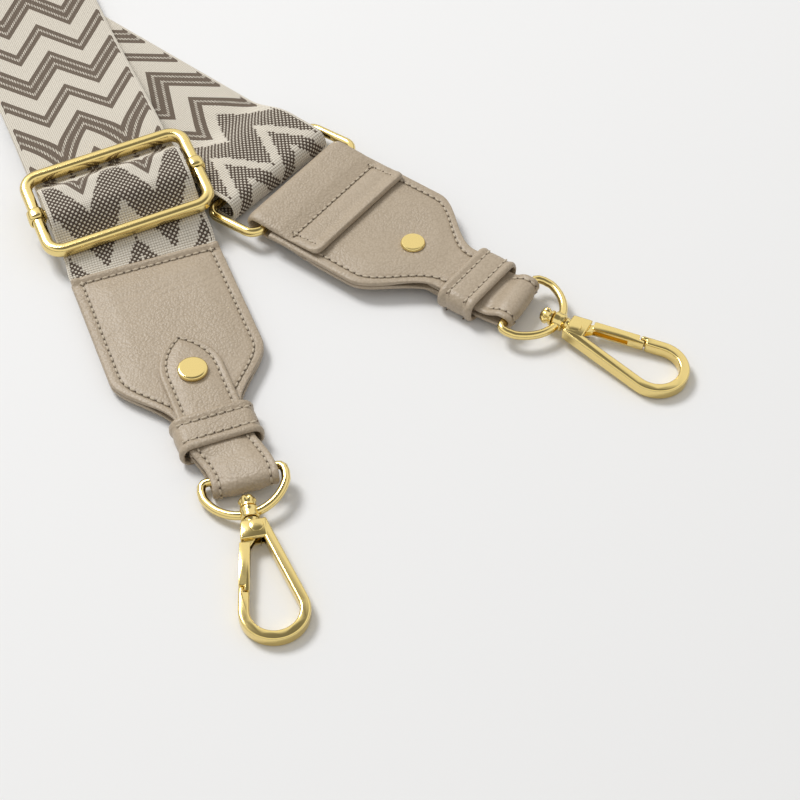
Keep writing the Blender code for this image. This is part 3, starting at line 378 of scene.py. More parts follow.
def carved(name: str, body: bpy.types.Mesh, tools: list, edge: float = 0) -> bpy.types.Mesh:
    """Mesh with others joined to it or cut out of it by exact Booleans.

    Args:
        name: name of the result.
        body: mesh that is worked on.
        tools: pairs of (mesh, operation).
        edge: radius of the edges that a last bevel gives.

    Returns:
        The result as a plain mesh.
    """
    holder = bpy.data.objects.new(name, body)
    bpy.context.scene.collection.objects.link(holder)
    helpers = []
    for mesh, operation in tools:
        helper = bpy.data.objects.new(mesh.name, mesh)
        bpy.context.scene.collection.objects.link(helper)
        helpers.append(helper)
        step = holder.modifiers.new(mesh.name, "BOOLEAN")
        step.operation = operation
        step.solver = "EXACT"
        step.object = helper
    if edge:
        bevel = holder.modifiers.new("edges", "BEVEL")
        bevel.width = edge
        bevel.segments = 2
        bevel.limit_method = "ANGLE"
        bevel.angle_limit = math.radians(50)
    graph = bpy.context.evaluated_depsgraph_get()
    result = bpy.data.meshes.new_from_object(holder.evaluated_get(graph))
    for thing in [holder, *helpers]:
        bpy.data.objects.remove(thing)
    result.name = name
    result.shade_smooth()
    result.set_sharp_from_angle(angle=math.radians(35))
    return result


def joined(name: str, parts: list) -> bpy.types.Mesh:
    """One mesh made of several closed shells.

    Args:
        name: name of the result.
        parts: pairs of (mesh, matrix).

    Returns:
        The mesh.
    """
    build = bmesh.new()
    for mesh, place in parts:
        moved = mesh.copy()
        moved.transform(place)
        build.from_mesh(moved)
        bpy.data.meshes.remove(moved)
    mesh = bpy.data.meshes.new(name)
    build.to_mesh(mesh)
    build.free()
    mesh.shade_smooth()
    mesh.set_sharp_from_angle(angle=math.radians(40))
    return mesh


@dataclass
class Bench:
    collection: bpy.types.Collection = field(default_factory=lambda: bpy.context.scene.collection)

    def lay(self, mesh: bpy.types.Mesh, finish: bpy.types.Material | None, body: str, nodes: tuple = (),
            slot: str = "", place: Matrix | None = None) -> bpy.types.Object:
        """Lays a piece in its place and ties it to its body.

        Args:
            mesh: the piece's mesh, whose name the object takes.
            finish: its material, or None where the mesh has its own.
            body: CAD body that it rides on, or no name where it lies between two bodies and is tied to
                neither.
            nodes: CAD nodes that it stands for.
            slot: not used.
            place: matrix that is applied to the mesh.

        Returns:
            The object, at the origin and unturned.
        """
        if place is not None:
            mesh.transform(place)
        piece = bpy.data.objects.new(mesh.name, mesh)
        self.collection.objects.link(piece)
        if finish is not None:
            mesh.materials.clear()
            mesh.materials.append(finish)
        if body:
            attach(piece, body)
        if nodes:
            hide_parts(*nodes)
        LOG.info("%s: %d faces on %s", piece.name, len(mesh.polygons), body)
        return piece


# Finishes


def new_material(name: str, roughness: float) -> tuple[bpy.types.Material, bpy.types.Node]:
    """Material with nodes.

    Args:
        name: its name.
        roughness: its shader's roughness.

    Returns:
        The material and its shader.
    """
    made = bpy.data.materials.new(name)
    made.use_nodes = True
    shader = made.node_tree.nodes["Principled BSDF"]
    shader.inputs["Roughness"].default_value = roughness
    return made, shader


@dataclass(frozen=True)
class GrainedLeather:
    """Pigmented cowhide, embossed with a pebble grain.

    The eye gets a soft sheen that breaks up over small rounded pebbles, with shade painted into the valleys
    between them and pores on them. The pebbles are drawn coarser than real ones, so that they show from afar.
    """

    name: str = "taupe_grained_leather"
    colour: str = "#B6A690"
    # Darkest colour: painted shade in the pebbles' valleys, and darker patches of random tone
    shade_and_patch_colour: str = "#9C8C76"
    roughness: float = 0.42
    pebble: float = 0.00085
    depth: float = 0.00022
    bend: float = 0.0012
    valley_shade: float = 0.38
    patch_tone: float = 0.22
    pore_depth: float = 0.25
    # Distance in a cell where its valley starts and ends, and how the bump grows over the broad patches
    valley: tuple = (0.35, 0.75)
    bump_over_patches: tuple = (0.40, 0.62, 0.50, 1.0)

    def build(self) -> bpy.types.Material:
        """Makes the material."""
        made, shader = new_material(self.name, self.roughness)
        tree = made.node_tree
        where = add_node(tree, "ShaderNodeTexCoord").outputs["Object"]
        noise = {}
        for name, scale, detail in (("pull", 0.35 / self.pebble, 2.0), ("pores", 5 / self.pebble, 3.0),
                                    ("patches", 45.0, 2.0)):
            noise[name] = add_node(tree, "ShaderNodeTexNoise", {"Scale": scale, "Detail": detail},
                                   {"Vector": where})
        bent = add_node(tree, "ShaderNodeMixRGB", {"Fac": self.bend},
                        {"Color1": where, "Color2": noise["pull"].outputs["Color"]})
        cells = add_node(tree, "ShaderNodeTexVoronoi", {"Scale": 1 / self.pebble, "Smoothness": 0.35},
                         {"Vector": bent.outputs[0]}, feature="SMOOTH_F1")
        known = {"cells": cells.outputs["Distance"], "pores": noise["pores"].outputs["Fac"],
                 "patches": noise["patches"].outputs["Fac"]}
        follow_recipe(tree, known, [
            ("valley", "LINEAR", "cells", *self.valley),
            # Painted shade in the pebbles' valleys, added to darker patches of random tone
            ("shade", "MULTIPLY", "valley", self.valley_shade),
            ("patch", "MULTIPLY", "patches", self.patch_tone),
            ("darker", "ADD", "shade", "patch"),
            ("colour", "MIX", "darker", self.colour, self.shade_and_patch_colour),
            ("pore", "MULTIPLY", "pores", self.pore_depth),
            ("height", "ADD", "cells", "pore"),
            ("strength", "LINEAR", "patches", *self.bump_over_patches),
        ])
        bump = add_node(tree, "ShaderNodeBump", {"Distance": self.depth},
                        {"Height": known["height"], "Strength": known["strength"]}, invert=True)
        tree.links.new(known["colour"], shader.inputs["Base Color"])
        tree.links.new(bump.outputs[0], shader.inputs["Normal"])
        return made


@dataclass(frozen=True)
class SmoothFinish:
    """A finish of one colour, such as plated metal, thread or painted leather edges."""

    name: str
    colour: str
    roughness: float
    metallic: float = 0.0
    sheen: float = 0.0

    def build(self) -> bpy.types.Material:
        """Makes the material."""
        made, shader = new_material(self.name, self.roughness)
        shader.inputs["Base Color"].default_value = srgb(self.colour)
        shader.inputs["Metallic"].default_value = self.metallic
        shader.inputs["Sheen Weight"].default_value = self.sheen
        return made


class Band(Enum):
    """Kinds of weave in one repeat of the zigzag, as the grey that stands for them in a ramp."""

    CREAM = 0.0
    DOTS = 0.5
    LINE = 1.0


@dataclass(frozen=True)
class Weave:
    """Sizes of the zigzag that the shader colours and the mesh raises, along the strip and across it."""

    half_zigzag: float = 0.0125
    steep: float = 1.75
    shallow: float = 1.28
    steep_until: float = 0.050
    shallow_from: float = 0.072
    steep_by_fold: float = 0.020
    shallow_by_fold: float = 0.055
    row: float = 0.002564
    repeat_start: float = 0.0298
    fine_pick: float = 0.00086
    fine_cell: float = 0.00072
    coarse_until: float = 0.046
    fold_place: float = 0.552
    coarse_before_fold: float = 0.036
    coarse_after_fold: float = 0.058
    selvage_from: float = 0.0258
    drifts_from: float = 0.17
    drifts_until: float = 0.50
    # Stretches of the coarse bands, the place before the tab's edge or the fold where they begin, and the
    # start and grey of each band as shares of them
    start_stretch: float = 0.080
    start_begins: float = 0.030
    fold_stretch: float = 0.100
    fold_begins: float = 0.040
    bands_at_start: tuple = ((0, 0), (33 / 80, 1), (41 / 80, 0), (55 / 80, 1), (76 / 80, 0))
    bands_at_fold: tuple = ((0, 0), (5 / 100, 1), (27 / 100, 0), (50 / 100, 1), (61 / 100, 0), (69 / 100, 1),
                            (90.5 / 100, 0))

    @property
    def coarse_cell(self) -> float:
        """Size of a coarse pick: a whole number of them fills half a zigzag."""
        return self.half_zigzag / 13

    @property
    def repeat(self) -> float:
        """Length of one repeat: sixteen rows."""
        return self.row * 16


@dataclass(frozen=True)
class JacquardYarn:
    """Thick matt yarn in cream and brown.

    The eye gets a zigzag of solid lines and rows of dots, and near the strip's two ends a coarse speckle,
    with shade painted into the gaps between the picks.
    The picks are drawn coarser than the real yarn, so that they show from afar.
    """

    name: str = "jacquard_webbing"
    cream: str = "#E9E2D4"
    brown: str = "#7A6C5E"
    # Brown of the coarse picks, made darker with painted shade of their deep gaps
    shaded_coarse_brown: str = "#5A4C40"
    # Painted shade between the picks: on the cream yarn, and on the brown ground between dots
    cream_gap_shade: str = "#A99C88"
    brown_gap_shade: str = "#40352B"
    dot: str = "#DCD3C3"
    roughness: float = 0.9
    fibre: float = 0.0003
    pick_height: float = 0.00022
    weave: Weave = field(default_factory=Weave)
    dot_share: float = 0.75
    # How strongly the painted shade between the picks shows
    gap_shade_strength: float = 0.72
    fibre_height: float = 0.25
    roundness: float = 0.6
    # Values between which each edge goes from nothing to full, and the darkest and lightest worn yarn
    bead_edge: tuple = (0.08, 0.26)
    coarse_dot_edge: tuple = (0.12, 0.36)
    pillow_edge: tuple = (0.02, 0.42)
    worn: tuple = (0.84, 1.14)

    def group_stops(self) -> list:
        """Steps of one repeat: three lines with dots between them, cream, two lines, cream."""
        row = self.weave.row / self.weave.repeat
        kinds = [Band.LINE, Band.DOTS, Band.LINE, Band.DOTS, Band.LINE] + [Band.CREAM] * 4
        kinds += [Band.LINE, Band.DOTS, Band.LINE] + [Band.CREAM] * 4
        stops = []
        for index, kind in enumerate(kinds):
            if not stops or stops[-1][1] != kind.value:
                stops.append((index * row, kind.value))
        return stops

    def zigzag(self) -> list:
        """Recipe of the place of the central peak whose line passes through a point."""
        weave = self.weave
        return [
            ("drift", "SMOOTHSTEP", "along", weave.drifts_from, weave.drifts_until),
            ("across", "MULTIPLY_ADD", "drift", weave.half_zigzag, "width"),
            ("past_fold", "SUBTRACT", "along", weave.fold_place),
            ("to_fold", "ABSOLUTE", "past_fold"),
            ("slack_at_start", "SMOOTHSTEP", "along", weave.steep_until, weave.shallow_from),
            ("slack_at_fold", "SMOOTHSTEP", "to_fold", weave.steep_by_fold, weave.shallow_by_fold),
            ("slack", "MINIMUM", "slack_at_start", "slack_at_fold"),
            ("slope", "MULTIPLY_ADD", "slack", weave.shallow - weave.steep, weave.steep),
            ("wave", "PINGPONG", "across", weave.half_zigzag),
            ("peak", "MULTIPLY_ADD", "wave", "slope", "along"),
            ("from_fold", "SUBTRACT", "peak", weave.fold_place),
        ]

    def picks(self) -> list:
        """Recipe of the pillows of yarn: a checked net of small cells, and one of coarse cells."""
        recipe = []
        for size, cell in (("fine", self.weave.fine_cell), ("coarse", self.weave.coarse_cell)):
            for way in ("along", "across"):
                recipe.append((f"{size}_{way}_turn", "MULTIPLY", way, math.pi / cell))
                recipe.append((f"{size}_{way}_wave", "COSINE", f"{size}_{way}_turn"))
            recipe.append((f"{size}_checks", "MULTIPLY", f"{size}_along_wave", f"{size}_across_wave"))
            recipe.append((f"{size}_pillow", "ABSOLUTE", f"{size}_checks"))
        return recipe

    def fine_weave(self) -> list:
        """Recipe of the brown lines and the rows of pale dots between them."""
        weave = self.weave
        return [
            ("start", "SUBTRACT", "peak", weave.repeat_start),
            ("in_repeat", "FLOORED_MODULO", "start", weave.repeat),
            ("repeat_share", "DIVIDE", "in_repeat", weave.repeat),
            ("kind", "STEPS", "repeat_share", self.group_stops()),
            ("lines", "GREATER_THAN", "kind", (Band.CREAM.value + Band.DOTS.value) / 2),
            ("dotted", "LESS_THAN", "kind", (Band.DOTS.value + Band.LINE.value) / 2),
            ("row_turn", "MULTIPLY", "start", 2 * math.pi / weave.row),
            ("row_wave", "COSINE", "row_turn"),
            ("row_rise", "MULTIPLY_ADD", "row_wave", -0.5, 0.5),
            ("pick_turn", "MULTIPLY", "across", 2 * math.pi / weave.fine_pick),
            ("pick_wave", "COSINE", "pick_turn"),
            ("pick_rise", "MULTIPLY_ADD", "pick_wave", 0.5, 0.5),
            ("bead", "MULTIPLY", "row_rise", "pick_rise"),
            ("bead_shape", "SMOOTHSTEP", "bead", *self.bead_edge),
            ("beads", "MULTIPLY", "bead_shape", "dotted"),
            ("dots", "MULTIPLY", "beads", "lines"),
            ("fine_brown", "SUBTRACT", "lines", "dots"),
        ]

    def coarse_weave(self) -> list:
        """Recipe of the speckled bands near the strip's start and near its fold, cell by cell."""
        weave, cell = self.weave, self.weave.coarse_cell
        recipe = []
        for way in ("along", "across"):
            recipe.append((f"{way}_moved", "ADD", way, cell / 2))
            recipe.append((f"{way}_cell", "SNAP", f"{way}_moved", cell))
        return recipe + [
            ("cell_wave", "PINGPONG", "across_cell", weave.half_zigzag),
            ("cell_peak", "MULTIPLY_ADD", "cell_wave", "slope", "along_cell"),
            ("start_share", "DIVIDE", "cell_peak", weave.start_stretch),
            ("start_place", "ADD", "start_share", weave.start_begins / weave.start_stretch),
            ("near_start", "STEPS", "start_place", list(weave.bands_at_start)),
            ("cell_from_fold", "SUBTRACT", "cell_peak", weave.fold_place),
            ("fold_share", "DIVIDE", "cell_from_fold", weave.fold_stretch),
            ("place_by_fold", "ADD", "fold_share", weave.fold_begins / weave.fold_stretch),
            ("near_fold", "STEPS", "place_by_fold", list(weave.bands_at_fold)),
            ("at_start", "LESS_THAN", "peak", weave.coarse_until),
            ("past_bands", "GREATER_THAN", "from_fold", -weave.coarse_before_fold),
            ("before_lines", "LESS_THAN", "from_fold", weave.coarse_after_fold),
            ("at_fold", "MULTIPLY", "past_bands", "before_lines"),
            ("speckled_start", "MULTIPLY", "near_start", "at_start"),
            ("speckled_fold", "MULTIPLY", "near_fold", "at_fold"),
            ("speckled", "MAXIMUM", "speckled_start", "speckled_fold"),
            ("coarse", "MAXIMUM", "at_start", "at_fold"),
            ("coarse_dots", "SMOOTHSTEP", "coarse_checks", *self.coarse_dot_edge),
            ("between_dots", "SUBTRACT", 1.0, "coarse_dots"),
            ("coarse_brown", "MULTIPLY", "speckled", "between_dots"),
        ]

    def colours(self) -> list:
        """Recipe of the yarn's colour, painted shade in its gaps and its height, fine or coarse, inside the
        plain selvages.
        """
        recipe = [
            ("fine", "SUBTRACT", 1.0, "coarse"),
            ("from_middle", "ABSOLUTE", "width"),
            ("inside", "LESS_THAN", "from_middle", self.weave.selvage_from),
        ]
        for name, one, other in (("any_brown", "fine_brown", "coarse_brown"),
                                 ("any_ground", "lines", "speckled"),
                                 ("pillow", "fine_pillow", "coarse_pillow")):
            recipe.append((f"{name}_fine", "MULTIPLY", one, "fine"))
            recipe.append((f"{name}_coarse", "MULTIPLY", other, "coarse"))
            recipe.append((name, "ADD", f"{name}_fine", f"{name}_coarse"))
        return recipe + [
            ("brown", "MULTIPLY", "any_brown", "inside"),
            ("ground", "MULTIPLY", "any_ground", "inside"),
            ("dot_share", "MULTIPLY", "ground", self.dot_share),
            ("pale", "MIX", "dot_share", self.cream, self.dot),
            # The coarse picks' brown carries painted shade
            ("dark", "MIX", "coarse", self.brown, self.shaded_coarse_brown),
            ("crown", "MIX", "brown", "pale", "dark"),
            # Painted shade between the picks, strongest away from each pillow's top
            ("gap", "MIX", "ground", self.cream_gap_shade, self.brown_gap_shade),
            ("pillow_top", "SMOOTHSTEP", "pillow", *self.pillow_edge),
            ("beside_pillow", "SUBTRACT", 1.0, "pillow_top"),
            ("deep", "MULTIPLY", "beside_pillow", self.gap_shade_strength),
            # The yarn's colour with the painted shade mixed in
            ("yarn", "MIX", "deep", "crown", "gap"),
            ("worn", "LINEAR", "fibre", 0.0, 1.0, *self.worn),
            ("rounded", "POWER", "pillow", self.roundness),
            ("height", "MULTIPLY_ADD", "fibre", self.fibre_height, "rounded"),
        ]

    def build(self) -> bpy.types.Material:
        """Makes the material, which reads the place on the flat strip from the mesh's own map."""
        made, shader = new_material(self.name, self.roughness)
        tree = made.node_tree
        cut = add_node(tree, "ShaderNodeUVMap", uv_map="cut").outputs[0]
        split = add_node(tree, "ShaderNodeSeparateXYZ", {}, {0: cut})
        fibre = add_node(tree, "ShaderNodeTexNoise", {"Scale": 1 / self.fibre, "Detail": 2.0},
                         {"Vector": cut})
        known = {"along": split.outputs[0], "width": split.outputs[1], "fibre": fibre.outputs["Fac"]}
        follow_recipe(tree, known, self.zigzag() + self.picks() + self.fine_weave() + self.coarse_weave())
        follow_recipe(tree, known, self.colours())
        colour = add_node(tree, "ShaderNodeVectorMath", {}, {0: known["yarn"], 1: known["worn"]},
                          operation="MULTIPLY")
        bump = add_node(tree, "ShaderNodeBump", {"Strength": 0.8, "Distance": self.pick_height},
                        {"Height": known["height"]})
        tree.links.new(colour.outputs[0], shader.inputs["Base Color"])
        tree.links.new(bump.outputs[0], shader.inputs["Normal"])
        return made


@dataclass
class Finishes:
    """The strap's finishes, made once."""

    weave: Weave

    def __post_init__(self) -> None:
        """Makes the materials."""
        self.leather = GrainedLeather().build()
        # The underside of split leather: duller, with a finer and shallower grain
        self.lining = GrainedLeather("taupe_split_leather", "#B5A693", "#A39480", roughness=0.6,
                                     pebble=0.0007, depth=0.00008).build()
        # Polished plating: pale yellow that mirrors the room, sharp at the edges
        self.gold = SmoothFinish("polished_light_gold", "#EBD48E", 0.15, 1.0).build()
        # Drawn wire: a grey mirror, a little blurred
        self.steel = SmoothFinish("spring_steel_wire", "#9A9A9E", 0.3, 1.0).build()
        # Bonded thread: dull, with a soft bright rim from its fibres
        self.thread = SmoothFinish("taupe_sewing_thread", "#C0B29C", 0.7, 0.0, 0.2).build()
        # The shadow in a needle's hole: dark and flat
        self.hole_shade = SmoothFinish("dark_needle_hole", "#5E5043", 0.9).build()
        self.webbing = JacquardYarn(weave=self.weave).build()


# Where things lie


@dataclass(frozen=True)
class Stack:
    """Levels inside a leather end, from the underside of its back leather."""

    leather: float = 0.0010
    core: float = 0.0014
    tab_width: float = 0.0552
    tab_length: float = 0.059
    neck_width: float = 0.0230
    neck_length: float = 0.034
    shoulder_start: float = -0.008
    shoulder_end: float = 0.019
    strap_width: float = 0.0225
    rest_below: float = 0.0015
    rest_above: float = 0.0080

    @property
    def core_level(self) -> float:
        """Middle of the webbing and of the hook strap between the panels."""
        return self.leather + GAP + self.core / 2

    @property
    def front_level(self) -> float:
        """Middle of the front leather."""
        return self.leather * 1.5 + GAP * 2 + self.core

    @property
    def tongue_level(self) -> float:
        """Middle of the tongue on the front leather."""
        return self.front_level + self.leather / 2 + GAP + self.core / 2

    @property
    def top(self) -> float:
        """Top of the tongue."""
        return self.tongue_level + self.core / 2

    def half_width(self, x: float) -> float:
        """Half width of the panels: straight tab, sloping shoulders, narrow neck."""
        narrowing = (self.tab_width - self.neck_width) / 2
        return self.tab_width / 2 - narrowing * eased(x, self.shoulder_start, self.shoulder_end)


@dataclass(frozen=True)
class EndLie:
    """One leather end: its rivet's place, its heading and how its hook hangs."""

    name: str
    leather_body: str
    rivet: tuple[float, float]
    heading: float
    turned_over: bool
    keeper_centre: float
    d_ring_bar: float
    strap_slack: float
    d_ring_drop: float
    d_ring_roll: float
    hook_turn: float
    hook_shift: float

    @property
    def place(self) -> Matrix:
        """Places the end's own frame in the world."""
        stack = Stack()
        height = stack.rest_above if self.turned_over else stack.rest_below
        flip = Matrix.Rotation(math.pi if self.turned_over else 0, 4, "X")
        return Matrix.Translation((*self.rivet, height)) @ Matrix.Rotation(self.heading, 4, "Z") @ flip

    @property
    def bar_level(self) -> float:
        """Level of the D-ring's bar in the end's frame."""
        stack = Stack()
        return (stack.core_level + stack.tongue_level) / 2 - self.d_ring_drop


SLIDER_END = EndLie(
    name="slider_end", leather_body="strap", rivet=(0, 0), heading=math.radians(-69.0), turned_over=False,
    keeper_centre=0.0262, d_ring_bar=0.0468, strap_slack=0.0035, d_ring_drop=0,
    d_ring_roll=math.radians(8.5), hook_turn=math.radians(-9.5), hook_shift=0.0021,
)
RING_END = EndLie(
    name="ring_end", leather_body="ring_end_leather", rivet=(0.0754, 0.0606), heading=math.radians(-36.9),
    turned_over=True, keeper_centre=0.0285, d_ring_bar=0.0458, strap_slack=0, d_ring_drop=0.0018,
    d_ring_roll=0, hook_turn=math.radians(-7.5), hook_shift=-0.0003,
)


def smooth_rows(stations: list, step: float) -> np.ndarray:
    """Dense rows of (point, across, half width) on a smooth curve, evenly spaced along it.

    Args:
        stations: tuples of (point, across, half width).
        step: distance between rows.

    Returns:
        An array with seven numbers in each row.
    """
    rows = np.array([[*point, *across, half] for point, across, half in stations])
    chords = np.linalg.norm(np.diff(rows[:, :3], axis=0), axis=1)
    places = np.concatenate(([0], np.cumsum(chords)))
    slopes = np.gradient(rows, places, axis=0)
    out = []
    for index, chord in enumerate(chords):
        count = max(2, round(chord / step * 2))
        share = (np.arange(count) / count)[:, None]
        rise = share * share * (3 - 2 * share)
        lead = share * (1 - share) ** 2 * chord
        trail = -share * share * (1 - share) * chord
        out.append(rows[index] * (1 - rise) + rows[index + 1] * rise + slopes[index] * lead
                   + slopes[index + 1] * trail)
    out.append(rows[-1:])
    fine = np.concatenate(out)
    lengths = np.concatenate(([0], np.cumsum(np.linalg.norm(np.diff(fine[:, :3], axis=0), axis=1))))
    marks = np.linspace(0, lengths[-1], max(3, round(lengths[-1] / step) + 1))
    even = rows_at(marks, lengths, fine)
    even[:, 3:6] = unit_rows(even[:, 3:6])
    return even


def row_axes(rows: np.ndarray) -> tuple[np.ndarray, np.ndarray]:
    """Surface normals of dense rows, and the distance of each row from the first.

    Args:
        rows: result of smooth_rows.

    Returns:
        Normals and distances.
    """
    points = rows[:, :3]
    along = unit_rows(np.gradient(points, axis=0))
    up = unit_rows(np.cross(along, rows[:, 3:6]))
    run = np.concatenate(([0], np.cumsum(np.linalg.norm(np.diff(points, axis=0), axis=1))))
    return up, run


# Webbing


@dataclass(frozen=True)
class SliderPlace:
    """Where the slider lies and how its bars stand to the webbing."""

    depth: float = 0.0424
    bar_width: float = 0.0044
    bar_height: float = 0.0046
    from_tab: float = 0.0311
    height: float = 0.0120
    roll: float = math.radians(-4.0)
    pitch: float = math.radians(-3.4)
    centre_bar_radius: float = 0.00175
    webbing: float = 0.0014

    @property
    def frame_edge(self) -> float:
        """Half the depth of the frame."""
        return self.depth / 2

    @property
    def under_bar(self) -> float:
        """Level of webbing under the frame's long bars."""
        return -(self.bar_height / 2 + GAP + self.webbing / 2)

    @property
    def loop_radius(self) -> float:
        """Radius of the webbing's loop round the centre bar."""
        return self.centre_bar_radius + GAP + self.webbing / 2

    @property
    def loose_pitch(self) -> float:
        """Distance between two layers that lie loosely on one another."""
        return self.webbing + GAP * 1.6

    @property
    def over_bar(self) -> float:
        """Level of the front layer where it passes over the centre bar."""
        return self.loop_radius + self.loose_pitch

    @property
    def reach(self) -> float:
        """How far from the centre bar the front layer has come down again."""
        return self.frame_edge - self.bar_width - GAP * 2


@dataclass
class Route:
    """The way of the doubled strap on the floor: out along leg one, round the loop and back to the ring."""

    width: float = 0.054
    thickness: float = 0.0014
    leg_one_skew: float = math.radians(1.3)
    leg_two_skew: float = math.radians(-3.0)
    past_crossing: float = 0.098
    twist_one: float = 0.064
    twist_two: float = 0.046
    fold_radius: float = 0.0046
    fold_squeeze: float = 0.0015
    fold_slack: float = 0.0050
    taper_start: float = 0.012
    taper_end: float = 0.036
    sewn_loop_reach: float = 0.031
    ring_span: float = 0.0225
    link_bar: tuple = (-0.0491, 0.0013)
    webbing_offset: float = 0.0008
    sewn_end: float = 0.014
    slider: SliderPlace = field(default_factory=SliderPlace)

    def __post_init__(self) -> None:
        """Works out the floor plan from the two leather ends."""
        stack = Stack()
        self.pitch = self.thickness + GAP
        self.tab_edge = SLIDER_END.place @ Vector((-stack.tab_length, 0, stack.core_level))
        self.leg_one = SLIDER_END.heading + math.pi + self.leg_one_skew
        self.ring_way = RING_END.heading + math.pi
        self.leg_two = self.ring_way + self.leg_two_skew
        self.leather_bar = RING_END.place @ Vector((self.link_bar[0], 0, self.link_bar[1]))
        lift = self.thickness / 2 + self.fold_radius
        self.ring_rise = math.asin((self.leather_bar.z - lift) / self.ring_span)
        level_span = self.ring_span * math.cos(self.ring_rise)
        self.webbing_bar = self.leather_bar + turned(self.ring_way) * level_span
        self.webbing_bar.z = lift
        self.fold = (self.webbing_bar - turned(self.ring_way) * self.fold_slack
                     - left_of(self.ring_way) * self.webbing_offset)
        one, two = turned(self.leg_one), turned(self.leg_two)
        apart = self.fold - self.tab_edge
        turn = one.x * two.y - one.y * two.x
        self.cross_one = (apart.x * two.y - apart.y * two.x) / turn
        self.cross_two = (apart.x * one.y - apart.y * one.x) / turn
        half_angle = (self.leg_two - self.leg_one) / 2
        self.arc_radius = self.past_crossing * math.tan(half_angle)
        self.leg_one_end = self.cross_one + self.past_crossing
        self.arc_end = self.leg_one_end + self.arc_radius * (math.pi + 2 * half_angle)
        self.length = self.arc_end + self.past_crossing + self.cross_two
        centre = self.tab_edge + one * self.slider.from_tab
        centre.z = self.slider.height
        self.slider_place = (Matrix.Translation(centre) @ Matrix.Rotation(self.leg_one, 4, "Z")
                             @ Matrix.Rotation(self.slider.pitch, 4, "Y")
                             @ Matrix.Rotation(self.slider.roll, 4, "X"))

    def fold_share(self, along: float) -> float:
        """How far the doubled strap has opened towards its fold in the link ring, 0 to 1."""
        return 1 - eased(self.length - along, self.taper_start, self.taper_end)

    def spread(self, along: float) -> float:
        """Distance between the two layers' centres."""
        loop_end = self.slider.from_tab + self.sewn_loop_reach
        near = 1 - eased(along, loop_end, loop_end + self.sewn_loop_reach * 0.7)
        spread = self.pitch + (2 * self.slider.loose_pitch - self.pitch) * near
        return spread + (2 * self.fold_radius - self.pitch) * self.fold_share(along)

    def half_width(self, along: float) -> float:
        """Half width of the webbing, squeezed a little at the fold."""
        return self.width / 2 - self.fold_squeeze * self.fold_share(along)

    def front_level(self, along: float) -> float:
        """Height of the front layer from the slider down to the crossing."""
        crossing = self.thickness * 3.5 + GAP * 4
        leaves = self.slider_place @ Vector((self.slider.frame_edge, 0, self.slider.under_bar))
        settles = eased(along, self.slider.from_tab + self.slider.frame_edge, self.cross_one)
        return leaves.z + (crossing - leaves.z) * settles

    def frame(self, along: float) -> tuple[Vector, Vector]:
        """Centre between the layers and across direction at a distance along the route.

        Args:
            along: distance from the tab's edge.

        Returns:
            The point and the direction.
        """
        if along < self.leg_one_end:
            heading = self.leg_one
            place = self.tab_edge + turned(heading) * along
        elif along < self.arc_end:
            heading = self.leg_one + (along - self.leg_one_end) / self.arc_radius
            middle = (self.tab_edge + turned(self.leg_one) * self.leg_one_end
                      + left_of(self.leg_one) * self.arc_radius)
            place = middle - left_of(heading) * self.arc_radius
        else:
            heading = self.leg_two + math.pi
            place = self.fold - turned(heading) * (self.length - along)
        spread = self.spread(along)
        quarter = math.pi / 2
        twist = quarter * eased(along, self.leg_one_end - self.twist_one, self.leg_one_end)
        twist += quarter * eased(along, self.arc_end, self.arc_end + self.twist_two)
        lying = self.thickness / 2 + spread / 2
        if along < self.leg_one_end:
            lying = self.front_level(along) - spread / 2
        leaves = self.slider.from_tab + self.slider.frame_edge
        roll = twist + self.slider.roll * (1 - eased(along, leaves, self.cross_one))
        place.z = lying * abs(math.cos(twist)) + self.width / 2 * math.sin(twist)
        return place, left_of(heading) * math.cos(roll) + Z_UP * math.sin(roll)

    def marks(self) -> list[float]:
        """Distances along the route at which the doubled strap is laid out."""
        marks = [self.slider.from_tab + self.slider.frame_edge + self.slider.bar_width / 2]
        stops = ((self.leg_one_end, 0.006), (self.arc_end, 0.004), (self.length - self.taper_end, 0.006),
                 (self.length, 0.003))
        for stop, step in stops:
            start = marks[-1]
            count = max(1, round((stop - start) / step))
            marks += [start + (stop - start) * index / count for index in range(1, count + 1)]
        return marks

    def slider_station(self, x: float, z: float) -> tuple:
        """Station of the webbing at a place in the slider's frame, level with its bars."""
        tilted = (self.slider_place.to_3x3() @ Vector((0, 1, 0))).normalized()
        return self.slider_place @ Vector((x, 0, z)), tilted, self.width / 2

    def outward_stations(self) -> list:
        """Stations from inside the slider end's leather, under the slider and on to the fold."""
        half = self.width / 2
        level = left_of(self.leg_one)
        entry = [(self.tab_edge - turned(self.leg_one) * back, level, half - narrow)
                 for back, narrow in ((self.sewn_end, 0.004), (0.007, 0.003), (0.003, 0.0012), (0, 0))]
        under = [self.slider_station(share * self.slider.frame_edge, self.slider.under_bar)
                 for share in (-1, -0.85, -0.4, 0, 0.4, 0.85, 1)]
        return entry + under + self.layers()[0]

    def fold_place(self) -> float:
        """Distance along the strip from the leather's edge to the fold's outermost line."""
        _, run = row_axes(smooth_rows(self.outward_stations(), 0.003))
        return float(run[-1]) - self.sewn_end - self.fold_radius * math.pi / 2

    def layers(self) -> tuple[list, list]:
        """Stations of the outer layer going out and of the inner layer coming back."""
        marks = self.marks()
        frames = [self.frame(along) for along in marks]
        last = len(frames) - 1
        going, coming = [], []
        for index, (place, across) in enumerate(frames):
            way = frames[min(index + 1, last)][0] - frames[max(index - 1, 0)][0]
            offset = way.cross(across).normalized() * self.spread(marks[index]) / 2
            going.append((place + offset, across, self.half_width(marks[index])))
            coming.append((place - offset, across, self.half_width(marks[index])))
        fold = []
        inwards = turned(self.leg_two + math.pi)
        for index in range(1, 12):
            angle = math.pi * index / 12 - math.pi / 2
            bend = inwards * math.cos(angle) + Z_UP * math.sin(angle)
            fold.append((self.fold + bend * self.fold_radius, going[-1][1], self.half_width(self.length)))
        return going + fold, coming[::-1]


